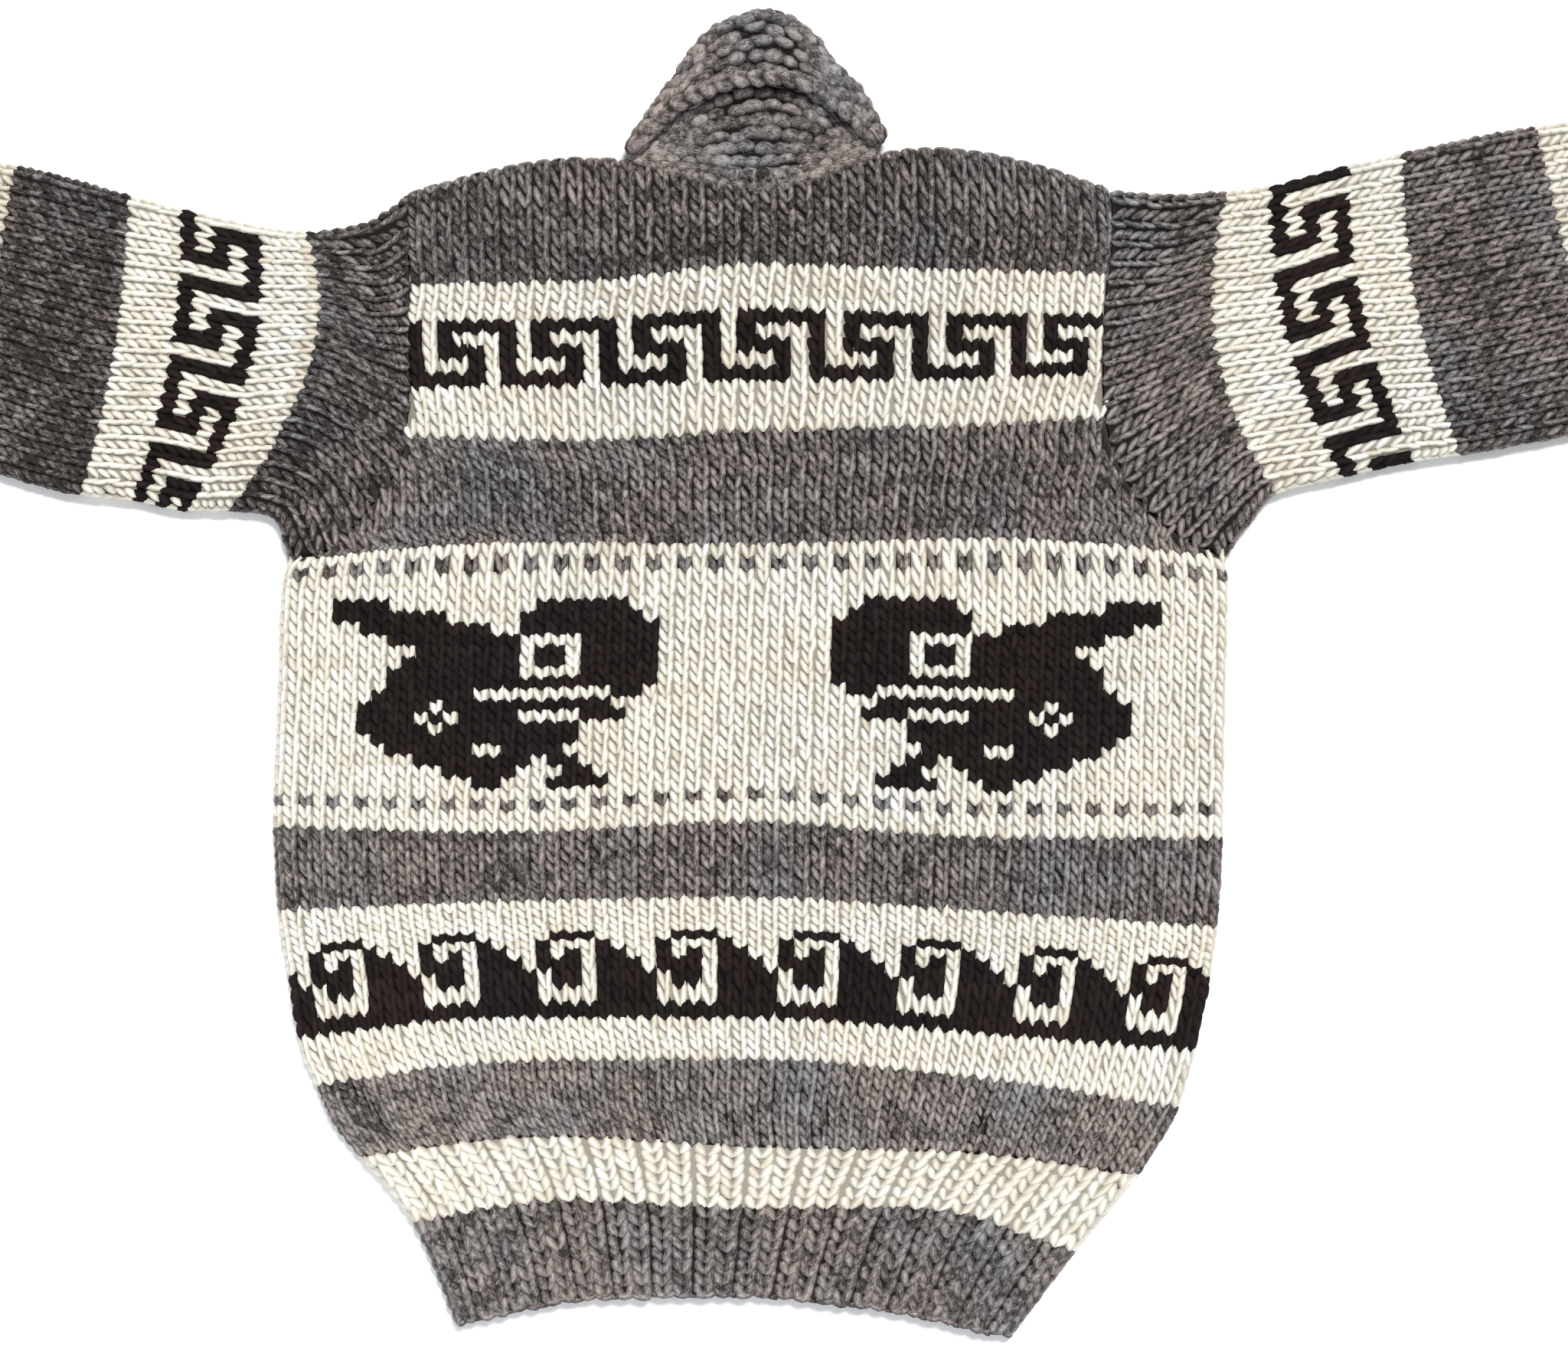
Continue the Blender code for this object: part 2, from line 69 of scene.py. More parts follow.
VALLEY_GAIN = 0.42                     # painted shade: dimming of a crown for each millimetre that it lies below the face
MAP_GIRTH = 2.6                        # yarn map's width against the strand's half width
FREE = 1e9                             # a last row that no strand reaches
TINY = 1e-9                            # least length that a direction is divided by
DEEPER = 1.5                           # the knit shows its soft folds this much more than the solid does
SEED = 20

# course, x at left edge, y at left edge, quarter, middle, three quarters, right edge, x at right edge
BODY = (
    (0, -219, -265.5, -253.5, -259, -261.5, -275.5, 210),
    (4, -235, -244, -233.5, -235.5, -241.5, -257.5, 221.5),
    (8, -243, -226.5, -212, -211, -220.5, -238.5, 232),
    (12, -253, -200.5, -188.5, -188.5, -197, -207, 241),
    (16, -258.5, -165.5, -156, -155, -162.5, -172, 248.5),
    (23, -264, -130, -124.5, -122.5, -130, -139, 253.5),
    (30, -266.5, -83.5, -86.5, -80.5, -89.5, -90, 256.5),
    (43, -264, -10, -8, -4.5, -8, -11, 258),
    (52, -262, 47, 47.5, 50.5, 47.5, 45, 259.5),
    (55, -258.5, 62.5, 72.5, 71.5, 75, 63.5, 257.5),
    (55.5, -248.5, 65.5, 74.5, 74.5, 77, 68.5, 249.5),
    (56, -236, 68.5, 77, 77, 80, 74, 237),
    (57, -226, 77.5, 83, 83.5, 86, 81.5, 226.5),
    (58.6, -215, 90, 92.5, 93, 95.5, 91.5, 215),
    (60.3, -205, 103, 102.5, 104, 106, 103.5, 205.5),
    (62.8, -196, 117.5, 116.5, 119.5, 121, 119.5, 197.5),
    (65, -194, 131, 128.5, 134, 136, 141.5, 191),
    (69.5, -191, 157.5, 158.5, 161.5, 162, 165.5, 190),
    (75.5, -192.5, 194, 195, 200.5, 198, 197.5, 191),
    (79.5, -190.5, 214.5, 216, 225.5, 222.5, 220.5, 192.5),
    (83.4, -192.5, 240.5, 244.5, 249, 247.5, 242.5, 196),
    (88, -192.5, 265.5, 285, 279, 290.5, 268, 194),
)
RIB = (
    (-14, -166, -358, -342, -340.5, -347.5, -364.5, 139.5),
    (-6, -190, -301.5, -288.5, -292.5, -292.5, -319, 175),
    BODY[0],
)
# course from the armhole, then x and y at the upper fold, along the middle and at the lower fold
SLEEVES = (
    ((5, -220.5, 248.5, -214, 160.5, -269, 87.5), (9, -248.5, 244.5, -244.5, 173, -291, 90),
     (14, -274, 248, -277, 171, -313, 90), (21, -316.5, 257, -321, 179.5, -343.5, 95.5),
     (26, -345, 264.5, -352, 181, -372, 98.5), (38, -407.5, 281, -422, 199, -436.5, 116.5),
     (54, -499.5, 293, -516.5, 220, -533, 147), (70, -596.5, 303, -610.5, 241.5, -624.5, 180),
     (73, -616, 294, -627, 245.5, -638, 197), (80, -657.5, 301.5, -668, 254.5, -678.5, 208)),
    ((5, 230, 265.5, 220, 164, 272, 83.5), (9, 258.5, 267, 251.5, 179.5, 285.5, 99),
     (14, 281.5, 270, 289.5, 185.5, 321, 108), (21, 325, 281, 332, 199, 361.5, 117),
     (26, 354, 288, 361.5, 201.5, 386.5, 120.5), (38, 427.5, 302.5, 446.5, 220, 469.5, 137),
     (54, 514, 311.5, 529, 237, 544.5, 163), (70, 599.5, 315.5, 612, 254, 624.5, 192),
     (73, 618.5, 306, 628.5, 257, 638.5, 208.5), (80, 660.5, 312.5, 670, 265.5, 679.5, 218.5)),
)
ARM_COURSES = (UNDERARM, 55.03, 55.25, 55.75, 56.4, 57.6, 59.2, 61.2, 63.6, 67, 72, 77, 82, 86, 87.4, 87.86,
               TOP_COURSE)
DOME = ((-73, 291), (-63, 304.5), (-55, 316.5), (-46.5, 327), (-37.5, 341.5), (-20, 358),
        (5.5, 365.5), (31.5, 351.5), (41, 338), (51.5, 328), (61, 315.5), (65.5, 306.5), (71.5, 297.5))
LIP = ((-63.5, 288.5), (-51, 300), (-37.5, 310.5), (-27, 315.5), (-14.5, 320), (5.5, 322),
       (31.5, 317.5), (41.5, 309.5), (50.5, 300.5), (62, 291))
LAPEL_TOP = ((303.5, 57.5, 59), (324.5, 41, 48), (345.5, 26.5, 30.5), (355.5, 12, 17))
# soft ridges and troughs: x, y, direction in degrees, half length, half width, height
FOLDS = (
    (-269.0, 118.0, 38.0, 28.0, 9.0, -1.6), (-262.0, 140.0, 38.0, 34.0, 12.0, 2.2),
    (-210.0, 66.0, -58.0, 42.0, 14.0, 1.5), (212.0, 72.0, 58.0, 44.0, 15.0, 1.6),
    (262.0, 128.0, -32.0, 34.0, 11.0, 1.8), (240.0, 240.0, -20.0, 26.0, 12.0, -1.2),
    (-60.0, 20.0, 84.0, 150.0, 46.0, 1.1), (96.0, -40.0, 98.0, 130.0, 40.0, 1.0),
    (-150.0, -236.0, 80.0, 22.0, 11.0, 1.3), (-82.0, -240.0, 86.0, 20.0, 10.0, 1.0),
    (-12.0, -246.0, 90.0, 24.0, 12.0, 1.5), (62.0, -244.0, 95.0, 20.0, 10.0, 1.1),
    (132.0, -250.0, 101.0, 22.0, 11.0, 1.3), (-470.0, 210.0, 100.0, 60.0, 16.0, 1.6),
    (492.0, 228.0, 78.0, 62.0, 16.0, 1.5),
    # creases that run down into the ribbing at each side, and the puckers where it draws the body in
    (-214.0, -242.0, -54.0, 26.0, 5.0, -4.0), (-203.0, -234.0, -54.0, 26.0, 8.0, 2.4),
    (230.0, -238.0, 57.0, 28.0, 5.0, -3.6), (219.0, -230.0, 57.0, 26.0, 8.0, 2.2),
    (-168.0, -243.0, 70.0, 8.0, 4.2, -2.8), (-131.0, -240.0, 40.0, 9.0, 4.5, -3.4),
    (-96.0, -243.0, 100.0, 9.0, 4.5, -3.6), (-52.0, -246.0, 80.0, 8.0, 4.0, -2.6),
    (-14.0, -247.0, 120.0, 9.0, 4.4, -3.2), (34.0, -246.0, 60.0, 8.0, 4.2, -2.8),
    (76.0, -245.0, 105.0, 10.0, 4.4, -3.2), (121.0, -247.0, 50.0, 9.0, 4.5, -3.0),
    (163.0, -251.0, 90.0, 8.0, 4.2, -2.6),
)
# half the number of wales across the body, by course
HALF_WALES = ((0, 55, 55.5, 56, 57, 58.6, 60.3, 62.8, 65, 69.5, 88),
              (32, 32, 31, 29.3, 27.4, 26, 24.6, 23, 21.9, 21, 21))

WAVE = (
    ".###....",
    "#...#...",
    "#.#.##..",
    "###.###.",
    ".##.####",
    "....####",
    "########",
)
KEY = (
    ".#####",
    ".#...#",
    ".###.#",
    "...#.#",
    "####.#",
)
BIRD = (
    "####..........######..",
    "########.....########.",
    "..#########..#########",
    "....#########....#####",
    "......#######.##.#####",
    ".....########.##.#####",
    "....#########....#####",
    "....##################",
    "...#######.........##.",
    "..#####.###########...",
    "..####.#.####....###..",
    "..#####.#########.....",
    "...##############.....",
    "....######..####......",
    "......########.##.....",
    "........#####...##....",
    "..........##...####...",
)
# wales where a wave, a key and each bird start, and the row of the field where the birds stand
WAVE_START, KEY_START, BIRD_STARTS, BIRD_FOOT = 2, 1, (4, 37), 4


Tones = tuple[tuple[float, ...], tuple[float, ...]]  # rows and the tone at each


class Yarn(enum.IntEnum):
    """The three natural wools of the garment."""

    GREY = 0
    CREAM = 1
    DARK = 2


class Band(enum.Enum):
    """What a band of stitch rows is knitted in."""

    GREY = "grey"
    CREAM = "cream"
    WAVE = "wave"
    KEY = "key"
    FIELD = "field"


# kind, first course, last course, stitch rows
BODY_BANDS = (
    (Band.GREY, 0, 8, 8), (Band.CREAM, 8, 12, 4), (Band.WAVE, 12, 19, 7), (Band.CREAM, 19, 23, 4),
    (Band.GREY, 23, 30, 7), (Band.FIELD, 30, 55, 25), (Band.GREY, 55, 65, 10), (Band.CREAM, 65, 69.5, 4),
    (Band.KEY, 69.5, 75.5, 5), (Band.CREAM, 75.5, 79.5, 4), (Band.GREY, 79.5, 88, 9),
)
RIB_BANDS = ((Band.GREY, -14, -6, 8), (Band.CREAM, -6, 0, 6))
SLEEVE_BANDS = (
    (Band.GREY, 0, 9, 9), (Band.CREAM, 9, 14, 5), (Band.KEY, 14, 21, 5), (Band.CREAM, 21, 26, 5),
    (Band.GREY, 26, 38, 12), (Band.CREAM, 38, 50, 12), (Band.GREY, 50, 70, 20),
)
CUFF_BANDS = ((Band.CREAM, 70, 73, 3), (Band.GREY, 73, 80, 7))
# rows and how much darker or lighter the colour is made there, in steps of the stitches' own spread
BODY_TONES = ((0, 7, 8, 22, 23, 30, 31, 54, 55, 65, 66, 77, 78, 87),
              (0.8, 0.8, 0, 0, -0.5, -0.5, 0, 0, -0.4, -0.6, 0, 0, -1.6, -1.3))
RIB_TONES = ((0, 7, 8, 14), (-0.2, -0.2, -0.6, -0.6))
SLEEVE_TONES = (((0, 9, 10, 23, 24, 64), (-1.9, -2.4, -0.2, -0.2, -3.6, -3.4)),
                ((0, 9, 10, 23, 24, 64), (-0.5, -0.6, 0.0, 0.0, -0.9, -0.9)))


# ---------------------------------------------------------------- curves and surfaces

QUARTERS = np.linspace(0, 1, 5)


def slopes(knots: np.ndarray, values: np.ndarray) -> np.ndarray:
    """Slope at each knot of a curve that never overshoots its points.

    Args:
        knots: Places of the points along the first axis.
        values: Values at the knots, any trailing shape.

    Returns:
        Slopes in the shape of values.
    """
    step = np.diff(knots).reshape((-1,) + (1,) * (values.ndim - 1))
    rise = np.diff(values, axis=0) / step
    out = np.zeros_like(values)
    a, b = rise[:-1], rise[1:]
    same = a * b > 0
    out[1:-1] = np.where(same, 2 * a * b / np.where(same, a + b, 1), 0)
    out[0], out[-1] = 1.5 * rise[0] - 0.5 * out[1], 1.5 * rise[-1] - 0.5 * out[-2]
    return out


def bend(t: np.ndarray, step: np.ndarray | float, low: np.ndarray, high: np.ndarray,
         leave: np.ndarray, arrive: np.ndarray) -> np.ndarray:
    """Cubic between two points that leaves and arrives at given slopes.

    Args:
        t: Share of the way, 0 to 1.
        step: Distance between the points.
        low: Value at the first point.
        high: Value at the second point.
        leave: Slope at the first point.
        arrive: Slope at the second point.

    Returns:
        Values at the shares.
    """
    return ((1 + 2 * t) * (1 - t) ** 2 * low + t * (1 - t) ** 2 * step * leave
            + t * t * (3 - 2 * t) * high + t * t * (t - 1) * step * arrive)


def curve(knots: object, values: object, at: object) -> np.ndarray:
    """Smooth values at the places asked for, along the first axis of the values.

    Args:
        knots: Places of the points.
        values: Values at the knots.
        at: Places to read, of any shape.

    Returns:
        Values of shape at.shape + values.shape[1:].
    """
    knots, values, at = np.asarray(knots, float), np.asarray(values, float), np.asarray(at, float)
    grade = slopes(knots, values)
    i = np.clip(np.searchsorted(knots, at, side="right") - 1, 0, len(knots) - 2)
    step = knots[i + 1] - knots[i]
    t = (at - knots[i]) / step
    wide = at.shape + (1,) * (values.ndim - 1)
    return bend(t.reshape(wide), step.reshape(wide), values[i], values[i + 1], grade[i], grade[i + 1])


def cross_curve(heights: np.ndarray, share: np.ndarray) -> np.ndarray:
    """Value at a share along five evenly spaced heights, point by point, by the same curve.

    Args:
        heights: Five values per point on the last axis.
        share: Place of each point, 0 to 1.

    Returns:
        One value per point.
    """
    grade = np.moveaxis(slopes(QUARTERS, np.moveaxis(heights, -1, 0)), 0, -1)
    share = np.clip(share, 0, 1) * 4
    i = np.clip(share.astype(int), 0, 3)
    low, high, leave, arrive = (np.take_along_axis(table, (i + k)[..., None], -1)[..., 0]
                                for table in (heights, grade) for k in (0, 1))
    return bend(share - i, QUARTERS[1], low, high, leave, arrive)


def smooth(value: np.ndarray) -> np.ndarray:
    """Ease from 0 to 1 over the same range.

    Args:
        value: Any numbers; outside 0 to 1 they are cut.

    Returns:
        Eased numbers.
    """
    t = np.clip(value, 0, 1)
    return t * t * (3 - 2 * t)


def relief(plan: np.ndarray) -> np.ndarray:
    """Rise over plan points from the soft ridges and troughs.

    Args:
        plan: Points with x and y on the last axis.

    Returns:
        Height at each point.
    """
    out = np.zeros(plan.shape[:-1])
    for x, y, turn, length, width, height in FOLDS:
        c, s = math.cos(math.radians(turn)), math.sin(math.radians(turn))
        dx, dy = plan[..., 0] - x, plan[..., 1] - y
        out += height * np.exp(-((dx * c + dy * s) / length) ** 2 - ((dy * c - dx * s) / width) ** 2)
    return out * DEEPER


def roll(gap: np.ndarray, blend: float = 20.0) -> tuple[np.ndarray, np.ndarray]:
    """Turn a flat distance from a folded edge into a place on the rounded edge.

    The first few millimetres of cloth run round a quarter circle, so a little more cloth than the flat
    distance is used there.

    Args:
        gap: Flat distance from the outline.
        blend: Distance over which the extra cloth is spread.

    Returns:
        Distance inward in plan, and the share of the full half thickness at that place.
    """
    spare = (math.pi / 2 - 1) * ROUND
    run = np.where(gap < blend, gap * (1 + spare / blend), gap + spare)
    angle = np.clip(run / ROUND, -0.4, math.pi / 2)
    inward = np.where(run < math.pi / 2 * ROUND, ROUND * (1 - np.cos(angle)), run - spare)
    return inward, np.sin(angle)


def row_count(bands: tuple) -> int:
    """Stitch rows of a panel with these bands."""
    return sum(band[3] for band in bands)


def plan_run(line: np.ndarray) -> np.ndarray:
    """Distance run along a plan line, from 0 at its first point."""
    return np.r_[0, np.cumsum(np.linalg.norm(np.diff(line, axis=0), axis=1))]


def row_courses(bands: tuple, rows: np.ndarray) -> np.ndarray:
    """Course of the panel's tables at each stitch row.

    Args:
        bands: Band table of the panel.
        rows: Stitch rows counted from the panel's first row.

    Returns:
        Courses.
    """
    knots = np.cumsum([0] + [band[3] for band in bands])
    return np.interp(rows, knots, [bands[0][1]] + [band[2] for band in bands])


@dataclass
class Surface:
    """Outer face of a panel, sampled finely over wales and rows.

    Attributes:
        wales: Even places across.
        rows: Even places along.
        points: Face points, rows by wales by three.
        turned: Whether the face looks the other way from the grid's own normal.
    """

    wales: np.ndarray
    rows: np.ndarray
    points: np.ndarray
    turned: bool = False
    normals: np.ndarray = field(init=False)

    def __post_init__(self) -> None:
        """Work out the face's unit normals."""
        along, across = np.gradient(self.points, axis=0), np.gradient(self.points, axis=1)
        normal = np.cross(across, along)
        size = np.linalg.norm(normal, axis=-1, keepdims=True)
        normal = np.where(size > TINY, normal / np.maximum(size, TINY), np.array([0.0, 0.0, 1.0]))
        self.normals = -normal if self.turned else normal

    def counted(self, wales: np.ndarray, rows: np.ndarray) -> "Surface":
        """Same face with its places counted in other steps.

        Args:
            wales: New places across.
            rows: New places along.

        Returns:
            The face, with the same points and normals.
        """
        other = Surface(wales, rows, self.points)
        other.normals = self.normals
        return other

    def at(self, wale: np.ndarray, row: np.ndarray) -> tuple[np.ndarray, np.ndarray]:
        """Point and normal at places given in wales and rows.

        Args:
            wale: Places across.
            row: Places along, same shape.

        Returns:
            Points and unit normals.
        """
        a = np.clip((wale - self.wales[0]) / (self.wales[1] - self.wales[0]), 0, len(self.wales) - 1.001)
        b = np.clip((row - self.rows[0]) / (self.rows[1] - self.rows[0]), 0, len(self.rows) - 1.001)
        i, j = a.astype(int), b.astype(int)
        fa, fb = (a - i)[..., None], (b - j)[..., None]
        out = []
        for grid in (self.points, self.normals):
            out.append((grid[j, i] * (1 - fa) + grid[j, i + 1] * fa) * (1 - fb)
                       + (grid[j + 1, i] * (1 - fa) + grid[j + 1, i + 1] * fa) * fb)
        return out[0], out[1] / np.linalg.norm(out[1], axis=-1, keepdims=True)


def rib_place(wale: np.ndarray) -> np.ndarray:
    """Place of a rib wale once the purl wales have drawn in: two wide knit wales, one narrow purl wale.

    Args:
        wale: Evenly counted wales, three to a repeat.

    Returns:
        Wales of even width.
    """
    return np.floor(wale / 3) * 3 + np.interp(wale % 3, (0, 1, 2, 3), (0, 1.43, 2.86, 3))


def rib_sink(wale: np.ndarray) -> np.ndarray:
    """Depth of the purl wales below the knit wales.

    Args:
        wale: Evenly counted wales, three to a repeat.

    Returns:
        Heights, zero or negative.
    """
    place = wale % 3
    return -2.6 * np.exp(-((place - 2.5) / 0.5) ** 2) - 0.35 * np.cos((place - 1) * math.pi) + 0.35


def body_surface(ribbed: bool, upper: bool) -> Surface:
    """Face of the back or of the fronts, or of the ribbing below them.

    Args:
        ribbed: True for the ribbing below the body.
        upper: True for the upper layer, False for the layer on the floor.

    Returns:
        The sampled face.
    """
    bands, half = (RIB_BANDS, RIB_HALF) if ribbed else (BODY_BANDS, BODY_HALF)
    count = row_count(bands)
    wales = np.linspace(-half - 1, half + 1, (2 * half + 2) * 5 + 1)
    rows = np.linspace(-1, count + 1, (count + 2) * 5 + 1)
    w, r = np.meshgrid(wales, rows)
    course = row_courses(bands, r) + np.where(r < 0, r, 0) + np.where(r > count, r - count, 0)
    table = np.array(RIB if ribbed else BODY, float)
    line = curve(table[:, 0], table[:, 1:], np.clip(course, table[0, 0] - 1, table[-1, 0]))
    left, right = line[..., 0], line[..., 6]
    sink = 0.0
    if ribbed:
        s = rib_place(w) / RIB_HALF
        s = 1.15 * s - 0.15 * s ** 3
        sink = rib_sink(w)
    else:
        s = w / np.interp(course, *HALF_WALES)
        s = 1.06 * s - 0.06 * s ** 3
    x = (left + right) / 2 + (right - left) / 2 * s
    y = cross_curve(line[..., 1:6], (x - left) / (right - left))
    top = curve(table[:, 0], table[:, 1:], table[-1, 0])
    gap_side = np.minimum(x - left, right - x)
    inward, lift = roll(gap_side)
    folded = 1.0 if ribbed else 1 - smooth(course - 54.4)
    x_round = np.where(x < (left + right) / 2, left + inward, right - inward)
    x = x + (x_round - x) * folded
    lift = 1 - (1 - lift) * folded
    plan = np.stack([x, y], axis=-1)
    ease = smooth(gap_side / 26)
    if ribbed:
        rise = np.maximum((relief(plan) + 0.4 * BODY_PUFF) * ease, 0)
    else:
        rise = (relief(plan) + BODY_PUFF * np.clip(course / 9, 0.4, 1)) * ease
        rise = np.maximum(rise * np.clip((TOP_COURSE - course) / 4, 0, 1), -1.2 * ease)
        gather = np.exp(-((course - 0.5) / 4.5) ** 2) * (0.75 + 0.25 * np.sin(w * 0.37 + 1.0))
        rise += 1.7 * gather * (np.cos(w * math.pi / 2 + 0.6) - 0.4) * ease
        rise -= 2.2 * np.exp(-(gap_side / 3.4) ** 2) * (1 - folded)
        share = (x - top[0]) / (top[6] - top[0])
        at_neck = smooth((share - NECK[0] + 0.01) / 0.02) * smooth((NECK[1] + 0.01 - share) / 0.02)
        y_top = cross_curve(np.broadcast_to(top[1:6], x.shape + (5,)), share)
        gap_top = y_top - y
        inward, lift_top = roll(gap_top)
        y = np.where(gap_top < 20, y_top - inward * (1 - at_neck) - gap_top * at_neck, y)
        lift = lift * (1 - (1 - lift_top) * (1 - at_neck))
        rise -= 1.6 * np.exp(-(gap_top / 3.0) ** 2) * at_neck
    if not upper:
        rise = 0 * x
    z = MIDDLE + (MIDDLE * lift + rise + sink * lift) * (1 if upper else -1)
    return Surface(wales, rows, np.stack([x, y, z], axis=-1), not upper)


def by_length(points: object, count: int) -> np.ndarray:
    """Points spaced evenly along a smooth plan line.

    Args:
        points: Points of the line.
        count: Number of points wanted.

    Returns:
        The points.
    """
    points = np.array(points, float)
    run = plan_run(points)
    return curve(run / run[-1], points, np.linspace(0, 1, count))


def armhole(side: int) -> np.ndarray:
    """Armhole line from the shoulder tip down to the underarm.

    Args:
        side: 0 for the left, 1 for the right.

    Returns:
        Plan points.
    """
    table = np.array(BODY, float)
    rows = curve(table[:, 0], table[:, 1:], ARM_COURSES)
    return (rows[:, [0, 1]] if side == 0 else rows[:, [6, 5]])[::-1]


def sleeve_surface(side: int, cuff: bool) -> Surface:
    """Face of a sleeve or cuff all round: the upper layer from fold to fold, then back along the floor.

    Args:
        side: 0 for the left, 1 for the right.
        cuff: True for the ribbed cuff.

    Returns:
        The sampled face; wales run from the upper fold over the top and back underneath.
    """
    bands, across = (CUFF_BANDS, CUFF_ACROSS) if cuff else (SLEEVE_BANDS, SLEEVE_ACROSS)
    count = row_count(bands)
    wales = np.linspace(-1, 2 * across + 1, (2 * across + 2) * 6 + 1)
    rows = np.linspace(-1, count + 1, (count + 2) * 5 + 1)
    line = armhole(side)
    shares = np.linspace(0, 1, 201)
    start = by_length(line, len(shares))
    table = np.array(SLEEVES[side], float)
    a = shares[None, :, None]
    high, mid, low = (table[:, None, k:k + 2] for k in (1, 3, 5))
    lines = high * (1 - a) * (1 - 2 * a) + mid * 4 * a * (1 - a) + low * a * (2 * a - 1)
    course = row_courses(bands, rows) + np.where(rows < 0, rows, 0) + np.where(rows > count, rows - count, 0)
    knots = np.r_[0, table[:, 0]]
    plan = curve(knots, np.concatenate([start[None], lines]), np.clip(course, 0, 81))
    plan = plan + np.where(course < 0, course, 0)[:, None, None] * 6.0 * np.array([(-1, 1)[side], 0.25])
    width = np.linalg.norm(np.diff(plan, axis=1), axis=-1).sum(axis=1)[:, None]
    turn = (rib_place(wales) if cuff else wales) / across % 2
    under = turn > 1
    share = np.where(under, 2 - turn, turn)[None, :]
    inward, lift = roll(np.minimum(share, 1 - share) * width, 14.0)
    place = np.where(share < 0.5, inward / width, 1 - inward / width)
    k = np.clip(place * 200, 0, 199.999)
    i = k.astype(int)
    f = (k - i)[..., None]
    pick = np.arange(len(rows))[:, None]
    plan = plan[pick, i] * (1 - f) + plan[pick, i + 1] * f
    puff = PUFF * (np.clip((74 - course) / 4, 0.25, 1) if cuff else np.clip(course / 9, 0, 1))
    rise = np.maximum(relief(plan), 0) * np.clip(np.minimum(share, 1 - share) * 8, 0, 1) ** 2
    rise = rise + puff[:, None] * np.sin(np.pi * share) ** 2
    if not cuff:
        rise = rise - 2.0 * np.exp(-(np.maximum(course, 0)[:, None] * COURSE_RISE / 4.5) ** 2) * lift
    sink = rib_sink(wales)[None, :] if cuff else 0.0
    z = MIDDLE + np.where(under[None, :], -MIDDLE * lift - sink * lift, MIDDLE * lift + rise + sink * lift)
    return Surface(wales, rows, np.dstack([plan, z]), side == 0)


# ---------------------------------------------------------------- yarn and meshes


@dataclass(frozen=True)
class Strand:
    """Shape of one visible length of yarn, in stitch units across and along.

    Attributes:
        path: Places of the centre line.
        width: Half widths along it, millimetres.
        top: Heights of its crown against the panel's face, millimetres.
        around: Points across the strand.
        floor: Height at which its sides end.
    """

    path: tuple[tuple[float, float], ...]
    width: tuple[float, ...]
    top: tuple[float, ...]
    around: int = 5
    floor: float = STRAND_FLOOR

    def coarse(self) -> "Strand":
        """Lighter version with three rings and three points across, for faces that rest on the floor.

        Returns:
            The lighter strand.
        """
        keep = (0, len(self.path) // 2, len(self.path) - 1)
        return Strand(tuple(self.path[k] for k in keep), tuple(self.width[k] for k in keep),
                      tuple(self.top[k] for k in keep), 3, self.floor)


# sideways place, height and lightness of the points across a strand, by how many there are; the lightness is
# painted shade, low at the sides where strands meet
PROFILES = {3: ((-1.0, 0.0, 1.0), (0.0, 1.0, 0.0), (0.0, 1.0, 0.0)),
            5: ((-1.0, -0.74, 0.0, 0.74, 1.0), (0.0, 0.68, 1.0, 0.68, 0.0), (0.0, 0.36, 1.0, 0.36, 0.0)),
            7: ((-1.0, -0.88, -0.52, 0.0, 0.52, 0.88, 1.0), (0.0, 0.47, 0.86, 1.0, 0.86, 0.47, 0.0),
                (0.0, 0.30, 0.80, 1.0, 0.80, 0.30, 0.0))}
LEFT_LEG = Strand(((0.03, -0.08), (-0.09, 0.22), (-0.23, 0.58), (-0.35, 0.95), (-0.42, 1.28)),
                  (0.9, 1.85, 2.15, 1.9, 1.2), (-0.9, 0.45, 0.7, -0.3, -1.8))
RIGHT_LEG = Strand(((0.08, -0.06), (0.21, 0.24), (0.265, 0.62), (0.275, 1.08), (0.26, 1.5)),
                   (0.9, 1.8, 1.95, 1.85, 1.2), (-0.9, 0.25, 0.4, 0.1, -1.0))
RIB_LEFT = Strand(((0.0, -0.08), (-0.15, 0.22), (-0.29, 0.58), (-0.39, 0.95), (-0.45, 1.28)),
                  (1.3, 2.6, 3.0, 2.7, 1.7), (-0.9, 0.45, 0.7, -0.3, -1.8))
RIB_RIGHT = Strand(((0.03, -0.06), (0.20, 0.24), (0.31, 0.62), (0.37, 1.08), (0.39, 1.5)),
                   (1.3, 2.5, 2.8, 2.5, 1.6), (-0.9, 0.25, 0.4, 0.1, -1.0))
PURL_BUMP = Strand(((-0.42, 0.22), (-0.2, 0.46), (0.0, 0.54), (0.2, 0.46), (0.42, 0.22)),
                   (1.0, 1.5, 1.7, 1.5, 1.0), (-2.0, -1.0, -0.7, -1.0, -2.0))
GARTER = Strand(((-0.60, -0.42), (-0.34, 0.10), (0.0, 0.34), (0.34, 0.10), (0.60, -0.42)),
                (1.7, 2.7, 3.0, 2.7, 1.7), (-1.5, 0.6, 1.1, 0.6, -1.5))
PEBBLE = Strand(((-0.54, -0.20), (-0.38, 0.03), (-0.14, 0.16), (0.14, 0.16), (0.38, 0.03), (0.54, -0.20)),
                (1.7, 3.1, 3.8, 3.8, 3.1, 1.7), (-2.2, 0.4, 1.6, 1.6, 0.4, -2.2), 7, -3.0)
